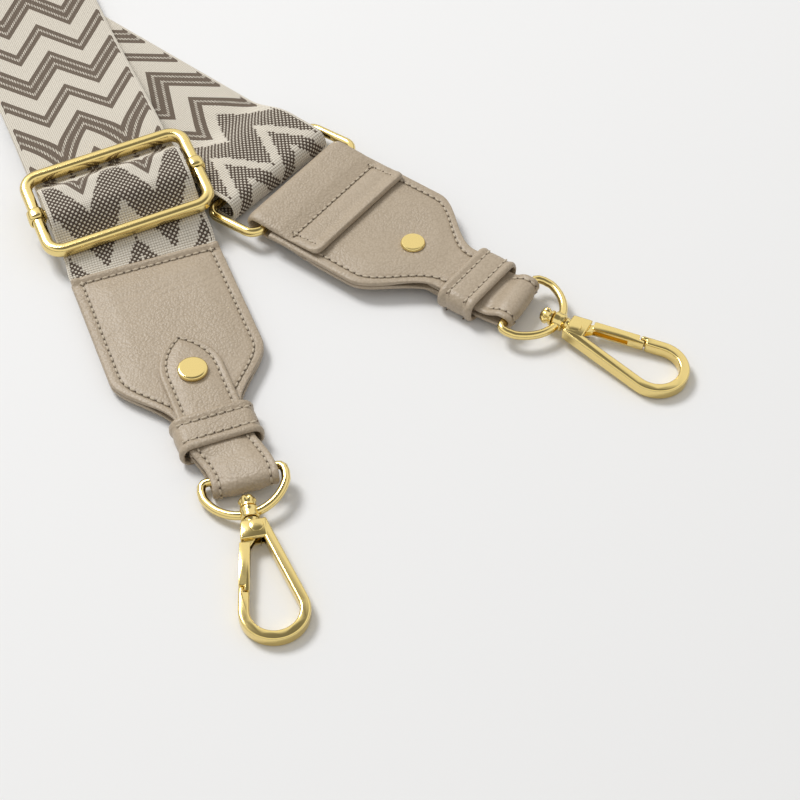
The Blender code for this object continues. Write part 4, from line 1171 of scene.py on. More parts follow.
@dataclass
class Webbing:
    """The woven strip: its lie, and its raised picks where the weave is coarse."""

    bench: Bench
    finishes: Finishes
    route: Route
    plain_step: float = 0.004
    edge: float = 0.0005
    relief: float = 0.00042
    level_top: float = 0.0042
    clear_of_strip: float = 0.0004
    # End of the loop that is sewn round the bar, as places (x, z) in the slider's frame
    loop_tail: tuple = ((0.005, 0.0007), (0.009, -0.0014), (0.0125, -0.0026))
    loop_pattern_start: float = 0.62

    def peak(self, position: np.ndarray, sideways: np.ndarray) -> np.ndarray:
        """Place along the strip of the central peak whose line passes through each point.

        Args:
            position: distances along the strip from the tab's edge.
            sideways: distances from its middle.

        Returns:
            The places.
        """
        weave = self.finishes.weave
        drift = eased_all(position, weave.drifts_from, weave.drifts_until)
        wave = np.abs((sideways / weave.half_zigzag + drift + 1) % 2 - 1)
        to_fold = np.abs(position - weave.fold_place)
        slack = np.minimum(eased_all(position, weave.steep_until, weave.shallow_from),
                           eased_all(to_fold, weave.steep_by_fold, weave.shallow_by_fold))
        return position + (weave.steep + (weave.shallow - weave.steep) * slack) * weave.half_zigzag * wave

    def raised(self, position: np.ndarray, sideways: np.ndarray) -> np.ndarray:
        """Rise of the picks in the coarse zones, on the same lattice that the shader colours.

        Args:
            position: distances along the strip from the tab's edge.
            sideways: distances from its middle.

        Returns:
            The rise.
        """
        weave = self.finishes.weave
        peak = self.peak(position, sideways)
        drift = eased_all(position, weave.drifts_from, weave.drifts_until) * weave.half_zigzag
        cell = math.pi / weave.coarse_cell
        checks = np.cos(position * cell) * np.cos((sideways + drift) * cell)
        near_start = 1 - eased_all(peak, weave.coarse_until - 0.001, weave.coarse_until + 0.001)
        from_fold = peak - weave.fold_place
        near_fold = eased_all(from_fold, -weave.coarse_before_fold - 0.001, -weave.coarse_before_fold + 0.001)
        past_fold = eased_all(from_fold, weave.coarse_after_fold - 0.001, weave.coarse_after_fold)
        near_fold = near_fold * (1 - past_fold)
        return (np.abs(checks) ** 0.7 - 0.4) * self.relief * np.maximum(near_start, near_fold)

    def row_marks(self, length: float, starts_at: float) -> np.ndarray:
        """Places of the strip's rows, close together where the picks are raised.

        Args:
            length: length of the strip.
            starts_at: distance of its start from the tab's edge.

        Returns:
            Distances from the strip's start.
        """
        weave = self.finishes.weave
        zones = ((-self.route.sewn_end, weave.coarse_until),
                 (weave.fold_place - 0.012, weave.fold_place + weave.coarse_after_fold))
        step = weave.coarse_cell / 2
        number = math.ceil(starts_at / step + 0.1)
        marks = [0.0]
        while number * step - starts_at < length - step * 0.1:
            place = number * step
            marks.append(place - starts_at)
            dense = any(low - self.plain_step < place < high for low, high in zones)
            number += 1 if dense else round(self.plain_step / step)
        return np.array(marks + [length])

    def strip(self, name: str, stations: list, starts_at: float) -> tuple[bpy.types.Mesh, float]:
        """Closed strip of webbing with raised picks on its outer face.

        Args:
            name: name of the mesh.
            stations: tuples of (point, across, half width).
            starts_at: distance of the first station from the tab's edge, for the pattern.

        Returns:
            The mesh and the strip's length.
        """
        even = smooth_rows(stations, 0.0006)
        up, run = row_axes(even)
        marks = self.row_marks(float(run[-1]), starts_at)
        rows = rows_at(marks, run, even)
        up = unit_rows(rows_at(marks, run, up))
        count = len(rows)
        full = self.route.width / 2
        step = self.finishes.weave.coarse_cell / 2
        side = math.floor((full - self.edge) / step)
        inner = np.arange(side, -side - 1, -1) * step
        face = np.concatenate(([full - self.edge * 0.3], inner, [self.edge * 0.3 - full]))
        back = np.array([-full, -full + self.edge, -full * 0.5, 0, full * 0.5, full - self.edge, full])
        sideways = np.concatenate((face, back))
        lift = np.concatenate((np.full(len(face), 0.5), np.full(len(back), -0.5))) * self.route.thickness
        lift[0] = lift[len(face) - 1] = self.route.thickness * 0.32
        lift[len(face)] = lift[-1] = 0
        across = rows[:, None, 3:6] * (sideways / full)[None, :, None] * rows[:, None, 6:7]
        position = marks + starts_at
        on_face = np.zeros(len(sideways))
        on_face[1 : len(inner) + 1] = 1
        rise = self.raised(position[:, None], sideways[None, :]) * on_face[None, :]
        points = rows[:, None, :3] + across + up[:, None, :] * (lift[None, :] + rise)[:, :, None]
        width = len(sideways)
        index = np.arange(count * width).reshape(count, width)
        one, two = index[:-1], index[1:]
        quads = np.stack((one, np.roll(one, -1, axis=1), np.roll(two, -1, axis=1), two), axis=-1)
        quads = quads.reshape(-1, 4)
        caps = [tuple(reversed(index[0].tolist())), tuple(index[-1].tolist())]
        mesh = bpy.data.meshes.new(name)
        mesh.from_pydata(points.reshape(-1, 3).tolist(), [], quads.tolist() + caps)
        coordinates = np.stack((np.repeat(position, width), np.tile(sideways, count)), axis=1)
        corners = np.zeros(len(mesh.loops), dtype=np.int32)
        mesh.loops.foreach_get("vertex_index", corners)
        cut = mesh.uv_layers.new(name="cut")
        cut.data.foreach_set("uv", coordinates[corners].reshape(-1).astype(np.float32))
        mesh.shade_smooth()
        return mesh, float(run[-1])

    def build(self) -> None:
        """Builds the strip, the part of it that domes over the slider's bar and the loop sewn round it."""
        route, slider = self.route, self.route.slider
        out, coming = route.outward_stations(), route.layers()[1]
        inner = [route.slider_station(share * slider.frame_edge, slider.under_bar - slider.loose_pitch * 2)
                 for share in (1, 0.6, 0.2, -0.2)]
        mesh, length = self.strip("webbing_strip", out + coming + inner, -route.sewn_end)
        strip = self.bench.lay(mesh, self.finishes.webbing, "strap", ("webbing",), "webbing")

        rise = slider.over_bar - slider.under_bar
        dome = []
        for share in np.linspace(-1, 1, 33):
            past = max(0.0, abs(share) * slider.reach - self.level_top) / (slider.reach - self.level_top)
            height = slider.under_bar + self.clear_of_strip + rise * (1 + math.cos(math.pi * past)) / 2
            dome.append(route.slider_station(share * slider.reach, height))
        start = slider.from_tab - slider.reach - 0.001
        mesh, over_length = self.strip("webbing_over_bar", dome, start)
        over = self.bench.lay(mesh, self.finishes.webbing, "slider", (), "webbing")

        loop = [route.slider_station(x, slider.under_bar - slider.loose_pitch)
                for x in (-slider.reach, -0.012, -0.006)]
        for degrees in range(-90, -281, -19):
            turn = math.radians(degrees)
            loop.append(route.slider_station(slider.loop_radius * math.cos(turn),
                                             slider.loop_radius * math.sin(turn)))
        loop += [route.slider_station(x, z) for x, z in self.loop_tail]
        mesh, loop_length = self.strip("webbing_bar_loop", loop, self.loop_pattern_start)
        sewn = self.bench.lay(mesh, self.finishes.webbing, "", (), "webbing")
        start, end = (route.slider_place @ Vector((x, 0, 0)) for x in (-0.013, -0.007))
        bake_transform(sewn)
        LOG.info("webbing length %.4f m", length)


# Slider and link ring


@dataclass
class Slider:
    """The gilt frame and the loose bar whose sleeves wrap its short sides."""

    bench: Bench
    finishes: Finishes
    route: Route
    corner: float = 0.0080
    side_room: float = 0.00035
    edge: float = 0.0016
    sleeve_wall: float = 0.00075
    sleeve_length: float = 0.0052

    def sleeve_ring(self, share: float, room: float, corner: float) -> list:
        """Ring of points round the frame's wire.

        Args:
            share: place along the sleeve, in sleeve lengths from its middle.
            room: distance from the wire.
            corner: radius of the ring's corners.

        Returns:
            The points.
        """
        slider = self.route.slider
        outline = rounded_rectangle(slider.bar_height + room * 2, slider.bar_width + room * 2, corner, 6)
        return [(share * self.sleeve_length, spot.x, spot.y) for spot in outline]

    def build(self) -> None:
        """Builds both pieces."""
        slider, matrix = self.route.slider, self.route.slider_place
        width = slider.bar_width
        length = self.route.width + (self.side_room + GAP + self.sleeve_wall + width) * 2
        path = rounded_rectangle(length - width, slider.depth - width, self.corner - width / 2, 12)
        section = rounded_rectangle(slider.bar_height, width, self.edge, 4)
        frame = flat_sweep("slider_frame_gilt", path, section)
        self.bench.lay(frame, self.finishes.gold, "slider", ("slider_frame",), "gold_metal", matrix)

        span = length - width
        ends = [(side * span / 2, slider.centre_bar_radius) for side in (-1, 1)]
        parts = [(turned_solid("bar", ends), Matrix.Rotation(math.pi / 2, 4, "Z"))]
        # Place along the sleeve and share of its wall, from one rolled lip to the other
        lips = ((-0.5, 0.0), (-0.47, 0.45), (-0.38, 0.85), (-0.25, 1), (0.25, 1), (0.38, 0.85), (0.47, 0.45),
                (0.5, 0.0))
        rings = [self.sleeve_ring(share, GAP + self.sleeve_wall * swell, self.edge + 0.0008)
                 for share, swell in lips]
        rings += [self.sleeve_ring(share, GAP * 0.8, self.edge + GAP) for share, _ in reversed(lips[1:-1])]
        sleeve = loft("sleeve", rings, closed=True)
        parts += [(sleeve, Matrix.Translation((0, side * span / 2, 0))) for side in (1, -1)]
        self.bench.lay(joined("slider_bar_gilt", parts), self.finishes.gold, "slider_bar", ("slider_bar",),
                  "gold_metal", matrix)


@dataclass
class LinkRing:
    """The wire ring between the webbing and the second leather end."""

    bench: Bench
    finishes: Finishes
    route: Route
    wire: float = 0.00175
    length: float = 0.0595
    corner: float = 0.0045

    def build(self) -> None:
        """Builds the ring about its bar in the webbing's fold."""
        path = rounded_rectangle(self.length, self.route.ring_span, self.corner, 10)
        mesh = flat_sweep("link_ring_gilt", path, circle(self.wire, 20))
        mesh.transform(Matrix.Translation((self.route.ring_span / 2, 0, 0)))
        place = (Matrix.Translation(self.route.webbing_bar) @ Matrix.Rotation(RING_END.heading, 4, "Z")
                 @ Matrix.Rotation(-self.route.ring_rise, 4, "Y"))
        self.bench.lay(mesh, self.finishes.gold, "link_ring", ("link_ring",), "gold_metal", place)


# Stitching


@dataclass
class Stitching:
    """Rows of sewing, laid by a Geometry Nodes tree along lines that carry the surface's normal."""

    bench: Bench
    finishes: Finishes
    pitch: float = 0.0027
    length: float = 0.0023
    thread: float = 0.00046
    hole: float = 0.00036

    def tree(self) -> bpy.types.NodeTree:
        """Makes the node tree, with the sizes as named inputs."""
        if "stitch_rows" in bpy.data.node_groups:
            return bpy.data.node_groups["stitch_rows"]
        tree = bpy.data.node_groups.new("stitch_rows", "GeometryNodeTree")
        tree.interface.new_socket("Rows", in_out="INPUT", socket_type="NodeSocketGeometry")
        for title in ("Pitch", "Stitch Length", "Thread Radius", "Hole Radius"):
            tree.interface.new_socket(title, in_out="INPUT", socket_type="NodeSocketFloat")
        tree.interface.new_socket("Sewing", in_out="OUTPUT", socket_type="NodeSocketGeometry")
        start = add_node(tree, "NodeGroupInput")
        end = add_node(tree, "NodeGroupOutput")
        curve = add_node(tree, "GeometryNodeMeshToCurve", {}, {"Mesh": start.outputs["Rows"]})
        spaced = add_node(tree, "GeometryNodeResampleCurve", {},
                          {"Curve": curve.outputs[0], "Length": start.outputs["Pitch"]}, mode="LENGTH")
        normal = add_node(tree, "GeometryNodeInputNamedAttribute", {"Name": "surface_up"},
                          data_type="FLOAT_VECTOR")
        along = add_node(tree, "GeometryNodeInputTangent")
        turn = add_node(tree, "FunctionNodeAxesToRotation", {},
                        {"Primary Axis": normal.outputs[0], "Secondary Axis": along.outputs[0]},
                        primary_axis="Z", secondary_axis="X")
        half = add_node(tree, "ShaderNodeMath", {1: 0.5}, {0: start.outputs["Pitch"]}, operation="MULTIPLY")
        shift = add_node(tree, "ShaderNodeVectorMath", {}, {0: along.outputs[0], "Scale": half.outputs[0]},
                         operation="SCALE")
        moved = add_node(tree, "GeometryNodeSetPosition", {},
                         {"Geometry": spaced.outputs[0], "Offset": shift.outputs[0]})
        # Stitches of thread, and half a pitch on dark flattened balls that paint the shade in each needle
        # hole
        kinds = (
            (spaced.outputs[0], "Stitch Length", "Thread Radius", 0.8, self.finishes.thread),
            (moved.outputs[0], "Hole Radius", "Hole Radius", 0.45, self.finishes.hole_shade),
        )
        joint = add_node(tree, "GeometryNodeJoinGeometry")
        for points, long_name, thick_name, flatness, finish in kinds:
            ball = add_node(tree, "GeometryNodeMeshUVSphere", {"Segments": 8, "Rings": 5, "Radius": 1.0})
            reach = add_node(tree, "ShaderNodeMath", {1: 0.5 if long_name != thick_name else 1.0},
                             {0: start.outputs[long_name]}, operation="MULTIPLY")
            low = add_node(tree, "ShaderNodeMath", {1: flatness}, {0: start.outputs[thick_name]},
                           operation="MULTIPLY")
            size = add_node(tree, "ShaderNodeCombineXYZ", {},
                            {0: reach.outputs[0], 1: start.outputs[thick_name], 2: low.outputs[0]})
            shape = add_node(tree, "GeometryNodeTransform", {},
                             {"Geometry": ball.outputs[0], "Scale": size.outputs[0]})
            laid = add_node(tree, "GeometryNodeInstanceOnPoints", {},
                            {"Points": points, "Instance": shape.outputs[0], "Rotation": turn.outputs[0]})
            real = add_node(tree, "GeometryNodeRealizeInstances", {}, {"Geometry": laid.outputs[0]})
            dressed = add_node(tree, "GeometryNodeSetMaterial", {"Material": finish},
                               {"Geometry": real.outputs[0]})
            tree.links.new(dressed.outputs[0], joint.inputs[0])
        tree.links.new(joint.outputs[0], end.inputs[0])
        return tree

    def sew(self, name: str, body: str, rows: list, place: Matrix) -> None:
        """Sews rows of stitches.

        Args:
            name: name of the piece.
            body: CAD body that it rides on.
            rows: lists of (point, normal) in the end's own frame.
            place: matrix of that frame.
        """
        points, edges, normals = [], [], []
        for row in rows:
            first = len(points)
            for point, normal in row:
                points.append(tuple(point))
                normals.extend(normal)
            edges += [(number, number + 1) for number in range(first, len(points) - 1)]
        mesh = bpy.data.meshes.new(name + "_rows")
        mesh.from_pydata(points, edges, [])
        layer = mesh.attributes.new("surface_up", "FLOAT_VECTOR", "POINT")
        layer.data.foreach_set("vector", normals)
        holder = bpy.data.objects.new(mesh.name, mesh)
        self.bench.collection.objects.link(holder)
        step = holder.modifiers.new("sewing", "NODES")
        step.node_group = self.tree()
        sizes = {"Pitch": self.pitch, "Stitch Length": self.length, "Thread Radius": self.thread,
                 "Hole Radius": self.hole}
        for item in step.node_group.interface.items_tree:
            if item.name in sizes:
                step[item.identifier] = sizes[item.name]
        graph = bpy.context.evaluated_depsgraph_get()
        sewn = bpy.data.meshes.new_from_object(holder.evaluated_get(graph))
        bpy.data.objects.remove(holder)
        sewn.name = name
        sewn.shade_smooth()
        self.bench.lay(sewn, None, body, (), "leather", place)


# Leather ends


@dataclass(frozen=True)
class Ripple:
    """A raised or sunk line of the leather: its height, the place of its middle and its width."""

    height: float
    middle: float
    width: float

    def rise(self, place: np.ndarray) -> np.ndarray:
        """Rise at places across the line."""
        return self.height * np.exp(-(((place - self.middle) / self.width) ** 2))


def leather_strip(name: str, rows: np.ndarray, thickness: float, columns: int, relief: Callable,
                  gather: Callable | None = None) -> bpy.types.Mesh:
    """Closed leather strip with rounded edges and a worked surface.

    Args:
        name: name of the mesh.
        rows: result of smooth_rows.
        thickness: full thickness.
        columns: faces across each side.
        relief: function of (distance along, sideways, half width) that raises the outer face.
        gather: function of the distance along that says how far the rim is drawn in and thickened, from
            0 to 1, or None.

    Returns:
        The mesh.
    """
    up, run = row_axes(rows)
    radius = thickness / 2
    turns = np.radians([90, 72, 50, 25, 0])
    rounded = radius * (1 - np.sin(turns))
    ends = np.maximum(np.cos(turns), 0.06)
    middle = run[(run > radius * 1.2) & (run < run[-1] - radius * 1.2)]
    marks = np.concatenate((rounded, middle, run[-1] - rounded[::-1]))
    thin = np.concatenate((ends, np.ones(len(middle)), ends[::-1]))
    even = rows_at(marks, run, rows)
    normal = unit_rows(rows_at(marks, run, up))
    across = unit_rows(even[:, 3:6])
    half = even[:, 6] - radius * (1 - thin)
    inner = half - radius
    gathered = np.zeros(len(marks)) if gather is None else gather(marks)
    extra = RIM_THICKENED * gathered
    flat = np.linspace(1, -1, columns + 1)
    edge_turns = np.radians([60, 25, -25, -60])
    spots = []
    for side, shares, rim_turns in ((1, flat, edge_turns), (-1, flat[::-1], edge_turns[::-1])):
        for share in shares:
            level = np.full(len(marks), radius)
            if side < 0:
                from_edge = half - np.abs(inner * share)
                level = -radius - 2 * extra * (1 - eased_all(from_edge, 0.0010, 0.0040))
            spots.append((inner * share, level, side))
        for turn in rim_turns:
            level = (radius + extra) * math.sin(turn) - extra
            spots.append((-side * (inner + radius * math.cos(turn)), level, 0))
    sideways = np.stack([spot[0] for spot in spots], axis=1)
    lift = np.stack([spot[1] for spot in spots], axis=1) * thin[:, None]
    on_face = np.array([spot[2] == 1 for spot in spots])
    flat_marks, flat_half = marks[:, None] + sideways * 0, half[:, None] + sideways * 0
    lift += relief(flat_marks, sideways, flat_half) * on_face[None, :] * thin[:, None]
    rim = 1 - eased_all(flat_half - np.abs(sideways), 0, RIM_REACH)
    lift -= RIM_DRAWN_IN * rim * gathered[:, None]
    aside = across[:, None, :] * sideways[:, :, None]
    points = even[:, None, :3] + aside + normal[:, None, :] * lift[:, :, None]
    return loft(name, points.tolist(), crease=180)


@dataclass
class EndPart:
    """What the leather and the metal of one end share."""

    bench: Bench
    finishes: Finishes
    lie: EndLie
    stack: Stack = field(default_factory=Stack)

    def name(self, piece: str) -> str:
        """Name of a piece of this end."""
        return f"{self.lie.name}_{piece}"

    def gild(self, mesh: bpy.types.Mesh, body: str, node: str, place: Matrix) -> None:
        """Lays a gold piece in the place of a CAD node of this end.

        Args:
            mesh: its mesh.
            body: CAD body that it rides on.
            node: the node's name without the end's.
            place: matrix that is applied to the mesh.
        """
        self.bench.lay(mesh, self.finishes.gold, body, (self.name(node),), "gold_metal", place)


@dataclass
class LeatherEnd(EndPart):
    """One leather end: panels, hook strap with its tongue, keeper, rivet and sewing."""

    stitch_inset: float = 0.0036
    keeper_length: float = 0.0145
    keeper_thickness: float = 0.0012
    keeper_room: float = 0.00195
    cap_radius: float = 0.00525
    cap_height: float = 0.0020
    back_radius: float = 0.0045
    back_height: float = 0.0012
    flap_width: float = 0.0520
    flap_corner: float = 0.0024
    flap_length: float = 0.0329
    fold_extreme: float = 0.0559
    ring_slack: float = 0.0037
    ring_wire: float = 0.00175
    d_wire: float = 0.0015
    back_inset: float = 0.014
    flap_row: float = 0.0130
    flap_inset: float = 0.0036
    strap_inset: float = 0.0027
    first_stitch: float = 0.0034
    sunk_rim: Ripple = Ripple(-0.00034, 0.0036, 0.0009)
    sunk_edge: Ripple = Ripple(-0.00038, 0.0034, 0.0009)
    edge_lip: Ripple = Ripple(0.00095, 0.0015, 0.0014)
    wrinkles: Ripple = Ripple(0.00007, 0.0165, 0.0045)
    sunk_back: Ripple = Ripple(-0.00032, 0.0036, 0.0009)
    pucker: Ripple = Ripple(0.00009, 0.0062, 0.0014)
    rivet_dip: Ripple = Ripple(-0.00040, 0, 0.0075)
    sunk_flap_sides: Ripple = Ripple(-0.00020, 0.0036, 0.0008)
    sunk_flap_row: Ripple = Ripple(-0.00040, 0.0130, 0.0011)
    flap_edge: Ripple = Ripple(0.00105, 0, 0.0024)
    flap_hump: Ripple = Ripple(0.00055, 0.00806, 0.004)
    sunk_strap: Ripple = Ripple(-0.00020, 0.0027, 0.0007)
    strap_lip: Ripple = Ripple(0.00012, 0.0011, 0.0008)

    def panel_rows(self, start: float, level: float, flipped: bool = False) -> np.ndarray:
        """Rows of a flat panel from its strap-side edge to the end of its neck."""
        across = Vector((0, -1 if flipped else 1, 0))
        places = np.linspace(start, self.stack.neck_length, 40)
        stations = [(Vector((x, 0, level)), across, self.stack.half_width(x)) for x in places]
        return smooth_rows(stations, 0.0007)

    def folded_rows(self) -> np.ndarray:
        """Rows of the ring end's front leather, from its flap's edge round the link ring to its neck."""
        stack = self.stack
        across = Vector((0, 1, 0))
        half = self.flap_width / 2
        flap_level = -GAP - stack.leather / 2
        fold_z = (stack.front_level + flap_level) / 2
        room = self.ring_wire + GAP * 1.2 + stack.leather / 2
        fold_x = -self.fold_extreme + room + stack.leather / 2
        bar_x = fold_x + self.ring_slack
        eases_at = bar_x + self.ring_wire * 6
        edge = self.flap_length - self.fold_extreme
        # The flap sinks a little towards its edge, because nothing holds it up there
        spots = [(edge, flap_level - 0.0009), (edge - 0.003, flap_level - 0.0005),
                 ((eases_at + edge) / 2, flap_level - 0.0002), (eases_at, flap_level), (bar_x, fold_z - room)]
        for index in range(9):
            turn = math.pi * (0.5 + index / 8)
            spots.append((fold_x + room * math.cos(turn), fold_z - room * math.sin(turn)))
        spots += [(bar_x, fold_z + room), (eases_at, stack.front_level)]
        stations = [(Vector((x, 0, z)), across, half) for x, z in spots]
        for x in np.linspace(eases_at + 0.004, stack.neck_length, 24):
            wide = stack.half_width(x)
            grown = wide
            if x < stack.shoulder_start:
                grown = half + (wide - half) * eased(x, eases_at, eases_at + 0.018)
            stations.append((Vector((x, 0, stack.front_level)), across, min(grown, wide)))
        rows = smooth_rows(stations, 0.0008)
        short = np.clip(self.flap_corner - row_axes(rows)[1], 0, None)
        rows[:, 6] -= self.flap_corner - np.sqrt(self.flap_corner**2 - short**2)
        return rows

    def strap_rows(self) -> np.ndarray:
        """Rows of the hook strap: out between the panels, round the D-ring's bar and back to the tongue."""
        lie, stack = self.lie, self.stack
        room = self.d_wire + GAP + stack.core / 2
        turn_start, turn_end = 0.034, 0.0425
        folds_at = lie.d_ring_bar + lie.strap_slack
        stations = []

        def add(x: float, z: float, half: float, bend: float = 0) -> None:
            """Adds a station, turned and rolled as the hook's side of the strap is."""
            share = eased(x, turn_start, turn_end)
            turn = lie.hook_turn * share
            roll = lie.d_ring_roll * share
            across = -Vector((-math.sin(turn), math.cos(turn), math.sin(roll))).normalized()
            stations.append((Vector((x, lie.hook_shift * share, z)) + turned(turn) * bend, across, half))

        half = stack.strap_width / 2
        middle_x = (turn_start + turn_end) / 2
        for x in (-0.012, 0, 0.012, 0.024, turn_start, middle_x):
            add(x, stack.core_level, half)
        for x in (lie.d_ring_bar - self.d_wire, folds_at):
            add(x, lie.bar_level - room, half)
        for index in range(1, 12):
            turn = math.pi * index / 12 - math.pi / 2
            add(folds_at, lie.bar_level + room * math.sin(turn), half, room * math.cos(turn))
        for x in (folds_at, lie.d_ring_bar - self.d_wire):
            add(x, lie.bar_level + room, half)
        for x in (middle_x, turn_start, 0.024, 0.012, 0.004, -0.001):
            add(x, stack.tongue_level, half)
        for index in range(1, 13):
            share = 1 - index / 12
            wide = stack.strap_width * (1 - (1 - share) ** 2) ** 0.75
            add(0.017 * share - 0.018, stack.tongue_level, max(wide, 0.0016) / 2)
        return smooth_rows(stations, 0.0006)

    def front_relief(self, along: np.ndarray, sideways: np.ndarray, half: np.ndarray) -> np.ndarray:
        """Rise of the front panel: rolled lip, sunk sewing, soft swell inside it, wrinkles of the hide.

        Args:
            along: distances along the strip.
            sideways: distances from its middle.
            half: half its width there.

        Returns:
            The rise.
        """
        from_edge = half - np.abs(sideways)
        swell = 0.00070 * eased_all(from_edge, self.stitch_inset, self.stitch_inset + 0.009)
        swell = swell * eased_all(along, self.first_stitch, 0.012) * (1 - eased_all(along, 0.045, 0.062))
        folds = np.sin(along * 2100 + sideways * 260 + 1.6 * np.sin(sideways * 330))
        lines = self.sunk_rim.rise(from_edge) + self.sunk_edge.rise(along) + self.edge_lip.rise(along)
        return lines + swell + folds * self.wrinkles.rise(along - sideways * 0.05)

    def gathered(self, along: np.ndarray) -> np.ndarray:
        """How far the panels' rims are drawn together at a distance from the tab's edge, 0 to 1."""
        place = along - self.stack.tab_length
        return eased_all(place, -0.0585, -0.0545) * (1 - eased_all(place, 0.002, 0.014))

    def back_gathered(self, along: np.ndarray) -> np.ndarray:
        """The same for a back panel, which may start further along."""
        return self.gathered(along + self.back_start)

    def folded_gathered(self, along: np.ndarray) -> np.ndarray:
        """The same for the folded leather, where it is past the link ring."""
        shifted = along - self.folded_length + self.stack.tab_length + self.stack.neck_length
        past_ring = eased_all(shifted, 0.016, 0.024)
        return self.gathered(np.where(along < self.folded_length * 0.5, 0, shifted)) * past_ring

    def tongue_relief(self, along: np.ndarray, sideways: np.ndarray, half: np.ndarray) -> np.ndarray:
        """Rise of the hook strap: sunk along its two sewn lines, ridged between them, rolled at its rim.

        Args:
            along: distances along the strip; not used.
            sideways: distances from its middle.
            half: half its width there.

        Returns:
            The rise.
        """
        from_edge = half - np.abs(sideways)
        ridge = 0.00048 * eased_all(from_edge, 0.0030, 0.0072)
        return self.sunk_strap.rise(from_edge) + ridge + self.strap_lip.rise(from_edge)

    def build_leather(self) -> None:
        """The panels, the hook strap and the keeper."""
        stack, lie, finishes = self.stack, self.lie, self.finishes
        start = -stack.tab_length
        body, place = lie.leather_body, lie.place
        self.back_start = self.back_inset if lie.turned_over else 0
        self.back_lie = self.panel_rows(start + self.back_start, stack.leather / 2, True)
        if lie.turned_over:
            self.front_lie = self.folded_rows()
            self.folded_length = float(row_axes(self.front_lie)[1][-1])
            front = leather_strip(self.name("front_panel"), self.front_lie, stack.leather, 64,
                                  self.flap_relief, self.folded_gathered)
        else:
            self.front_lie = self.panel_rows(start, stack.front_level)
            front = leather_strip(self.name("front_panel"), self.front_lie, stack.leather, 80,
                                  self.front_relief, self.gathered)
        back = leather_strip(self.name("back_panel"), self.back_lie, stack.leather, 64, self.back_relief,
                             self.back_gathered)
        self.strap_lie = self.strap_rows()
        strap = leather_strip(self.name("tongue_strap"), self.strap_lie, stack.core, 40, self.tongue_relief)
        self.bench.lay(front, finishes.leather, body, (self.name("front_leather"),), "leather", place)
        self.bench.lay(back, finishes.leather, body, (self.name("back_leather"),), "leather_lining", place)
        self.bench.lay(strap, finishes.leather, body, (self.name("hook_strap"),), "leather", place)
        self.build_keeper()
        self.build_stitches()

    def flap_relief(self, along: np.ndarray, sideways: np.ndarray, half: np.ndarray) -> np.ndarray:
        """Rise of the folded leather's outer side: the flap's thick turned edge, its sewing and its swell.

        Args:
            along: distances along the strip.
            sideways: distances from its middle.
            half: half its width there.

        Returns:
            The rise.
        """
        from_edge = half - np.abs(sideways)
        flap = 1 - eased_all(along, 0.040, 0.044)
        sides = self.sunk_flap_sides.rise(from_edge) * (along < 0.0225)
        swell = 0.00100 * eased_all(along, self.flap_row, self.flap_row + 0.007) * flap
        swell = swell + self.flap_hump.rise(along) + self.flap_edge.rise(np.maximum(along - 0.0016, 0))
        rounding = np.sqrt(np.clip(from_edge / 0.003, 0, 1))
        return swell * rounding + sides + self.sunk_flap_row.rise(along)

    def back_relief(self, along: np.ndarray, sideways: np.ndarray, half: np.ndarray) -> np.ndarray:
        """Rise of the back leather: sunk along its sewing, swollen inside it, puckered round the rivet.

        Args:
            along: distances along the strip.
            sideways: distances from its middle.
            half: half its width there.

        Returns:
            The rise.
        """
        from_edge = half - np.abs(sideways)
        swell = 0.00060 * eased_all(from_edge, self.stitch_inset, self.stitch_inset + 0.008)
        centre = self.stack.tab_length - self.back_start
        swell = swell * (1 - eased_all(along, centre + 0.004, centre + 0.016))
        around = np.hypot(along - centre, sideways)
        pucker = self.pucker.rise(around) * np.sin(np.arctan2(sideways, along - centre) * 17)
        return self.sunk_back.rise(from_edge) + swell + pucker + self.rivet_dip.rise(around)

    def build_keeper(self) -> None:
        """The loose loop round the tongue, thicker at its turned lips."""
        thick = self.keeper_thickness
        inner_width = self.stack.strap_width + self.keeper_room * 2
        inner_height = self.stack.top + GAP * 2
        half = self.keeper_length / 2
        # Distance from the edge and thickness of the wall, in walls: a rolled lip, a sunk seam, the middle
        lip = ((0, 0.15), (0.0002, 0.75), (0.0007, 1.5), (0.0014, 1.85), (0.0022, 1.6), (0.0030, 1.0),
               (0.0036, 0.78), (0.0044, 1.05), (half * 0.8, 1.18))
        lips = [(inset - half, swell) for inset, swell in lip]
        lips += [(half - inset, swell) for inset, swell in reversed(lip)]
        rings = []
        for side in (1, -1):
            for along, swell in lips[::side]:
                grown = thick * (1 + swell * (1 if side > 0 else -min(1, 1 / swell)))
                outline = rounded_rectangle(inner_width + grown, inner_height + grown, 0.0026 + grown / 2, 10)
                rings.append([(along, spot.y, spot.x + self.arch(spot.y, spot.x, inner_width))
                              for spot in outline])
        mesh = loft(self.name("keeper_loop"), rings, closed=True, crease=60)
        stand = Matrix.Translation((self.lie.keeper_centre, 0, self.stack.top / 2))
        self.bench.lay(mesh, self.finishes.leather, self.name("keeper"), (self.name("keeper"),), "leather",
                  self.lie.place @ stand)
        level = (inner_height + thick * 1.80) / 2
        reach = inner_width / 2 - 0.0012
        rows = []
        for side in (1, -1):
            for along in (-half + 0.0036, half - 0.0036):
                across = np.linspace(-reach, reach, 13)
                heights = [side * level + self.arch(y, side * level, inner_width) for y in across]
                rows.append([(Vector((along, y, z)), (0, 0, side)) for y, z in zip(across, heights)])
        Stitching(self.bench, self.finishes).sew(self.name("keeper_sewing"), self.name("keeper"), rows,
                                     self.lie.place @ stand)

    def arch(self, y: float, z: float, width: float) -> float:
        """How far the keeper's leather arches out of its box shape."""
        share = max(0, 1 - (2 * y / width) ** 2)
        return 0.0006 * share * (1 if z > 0 else -0.15)

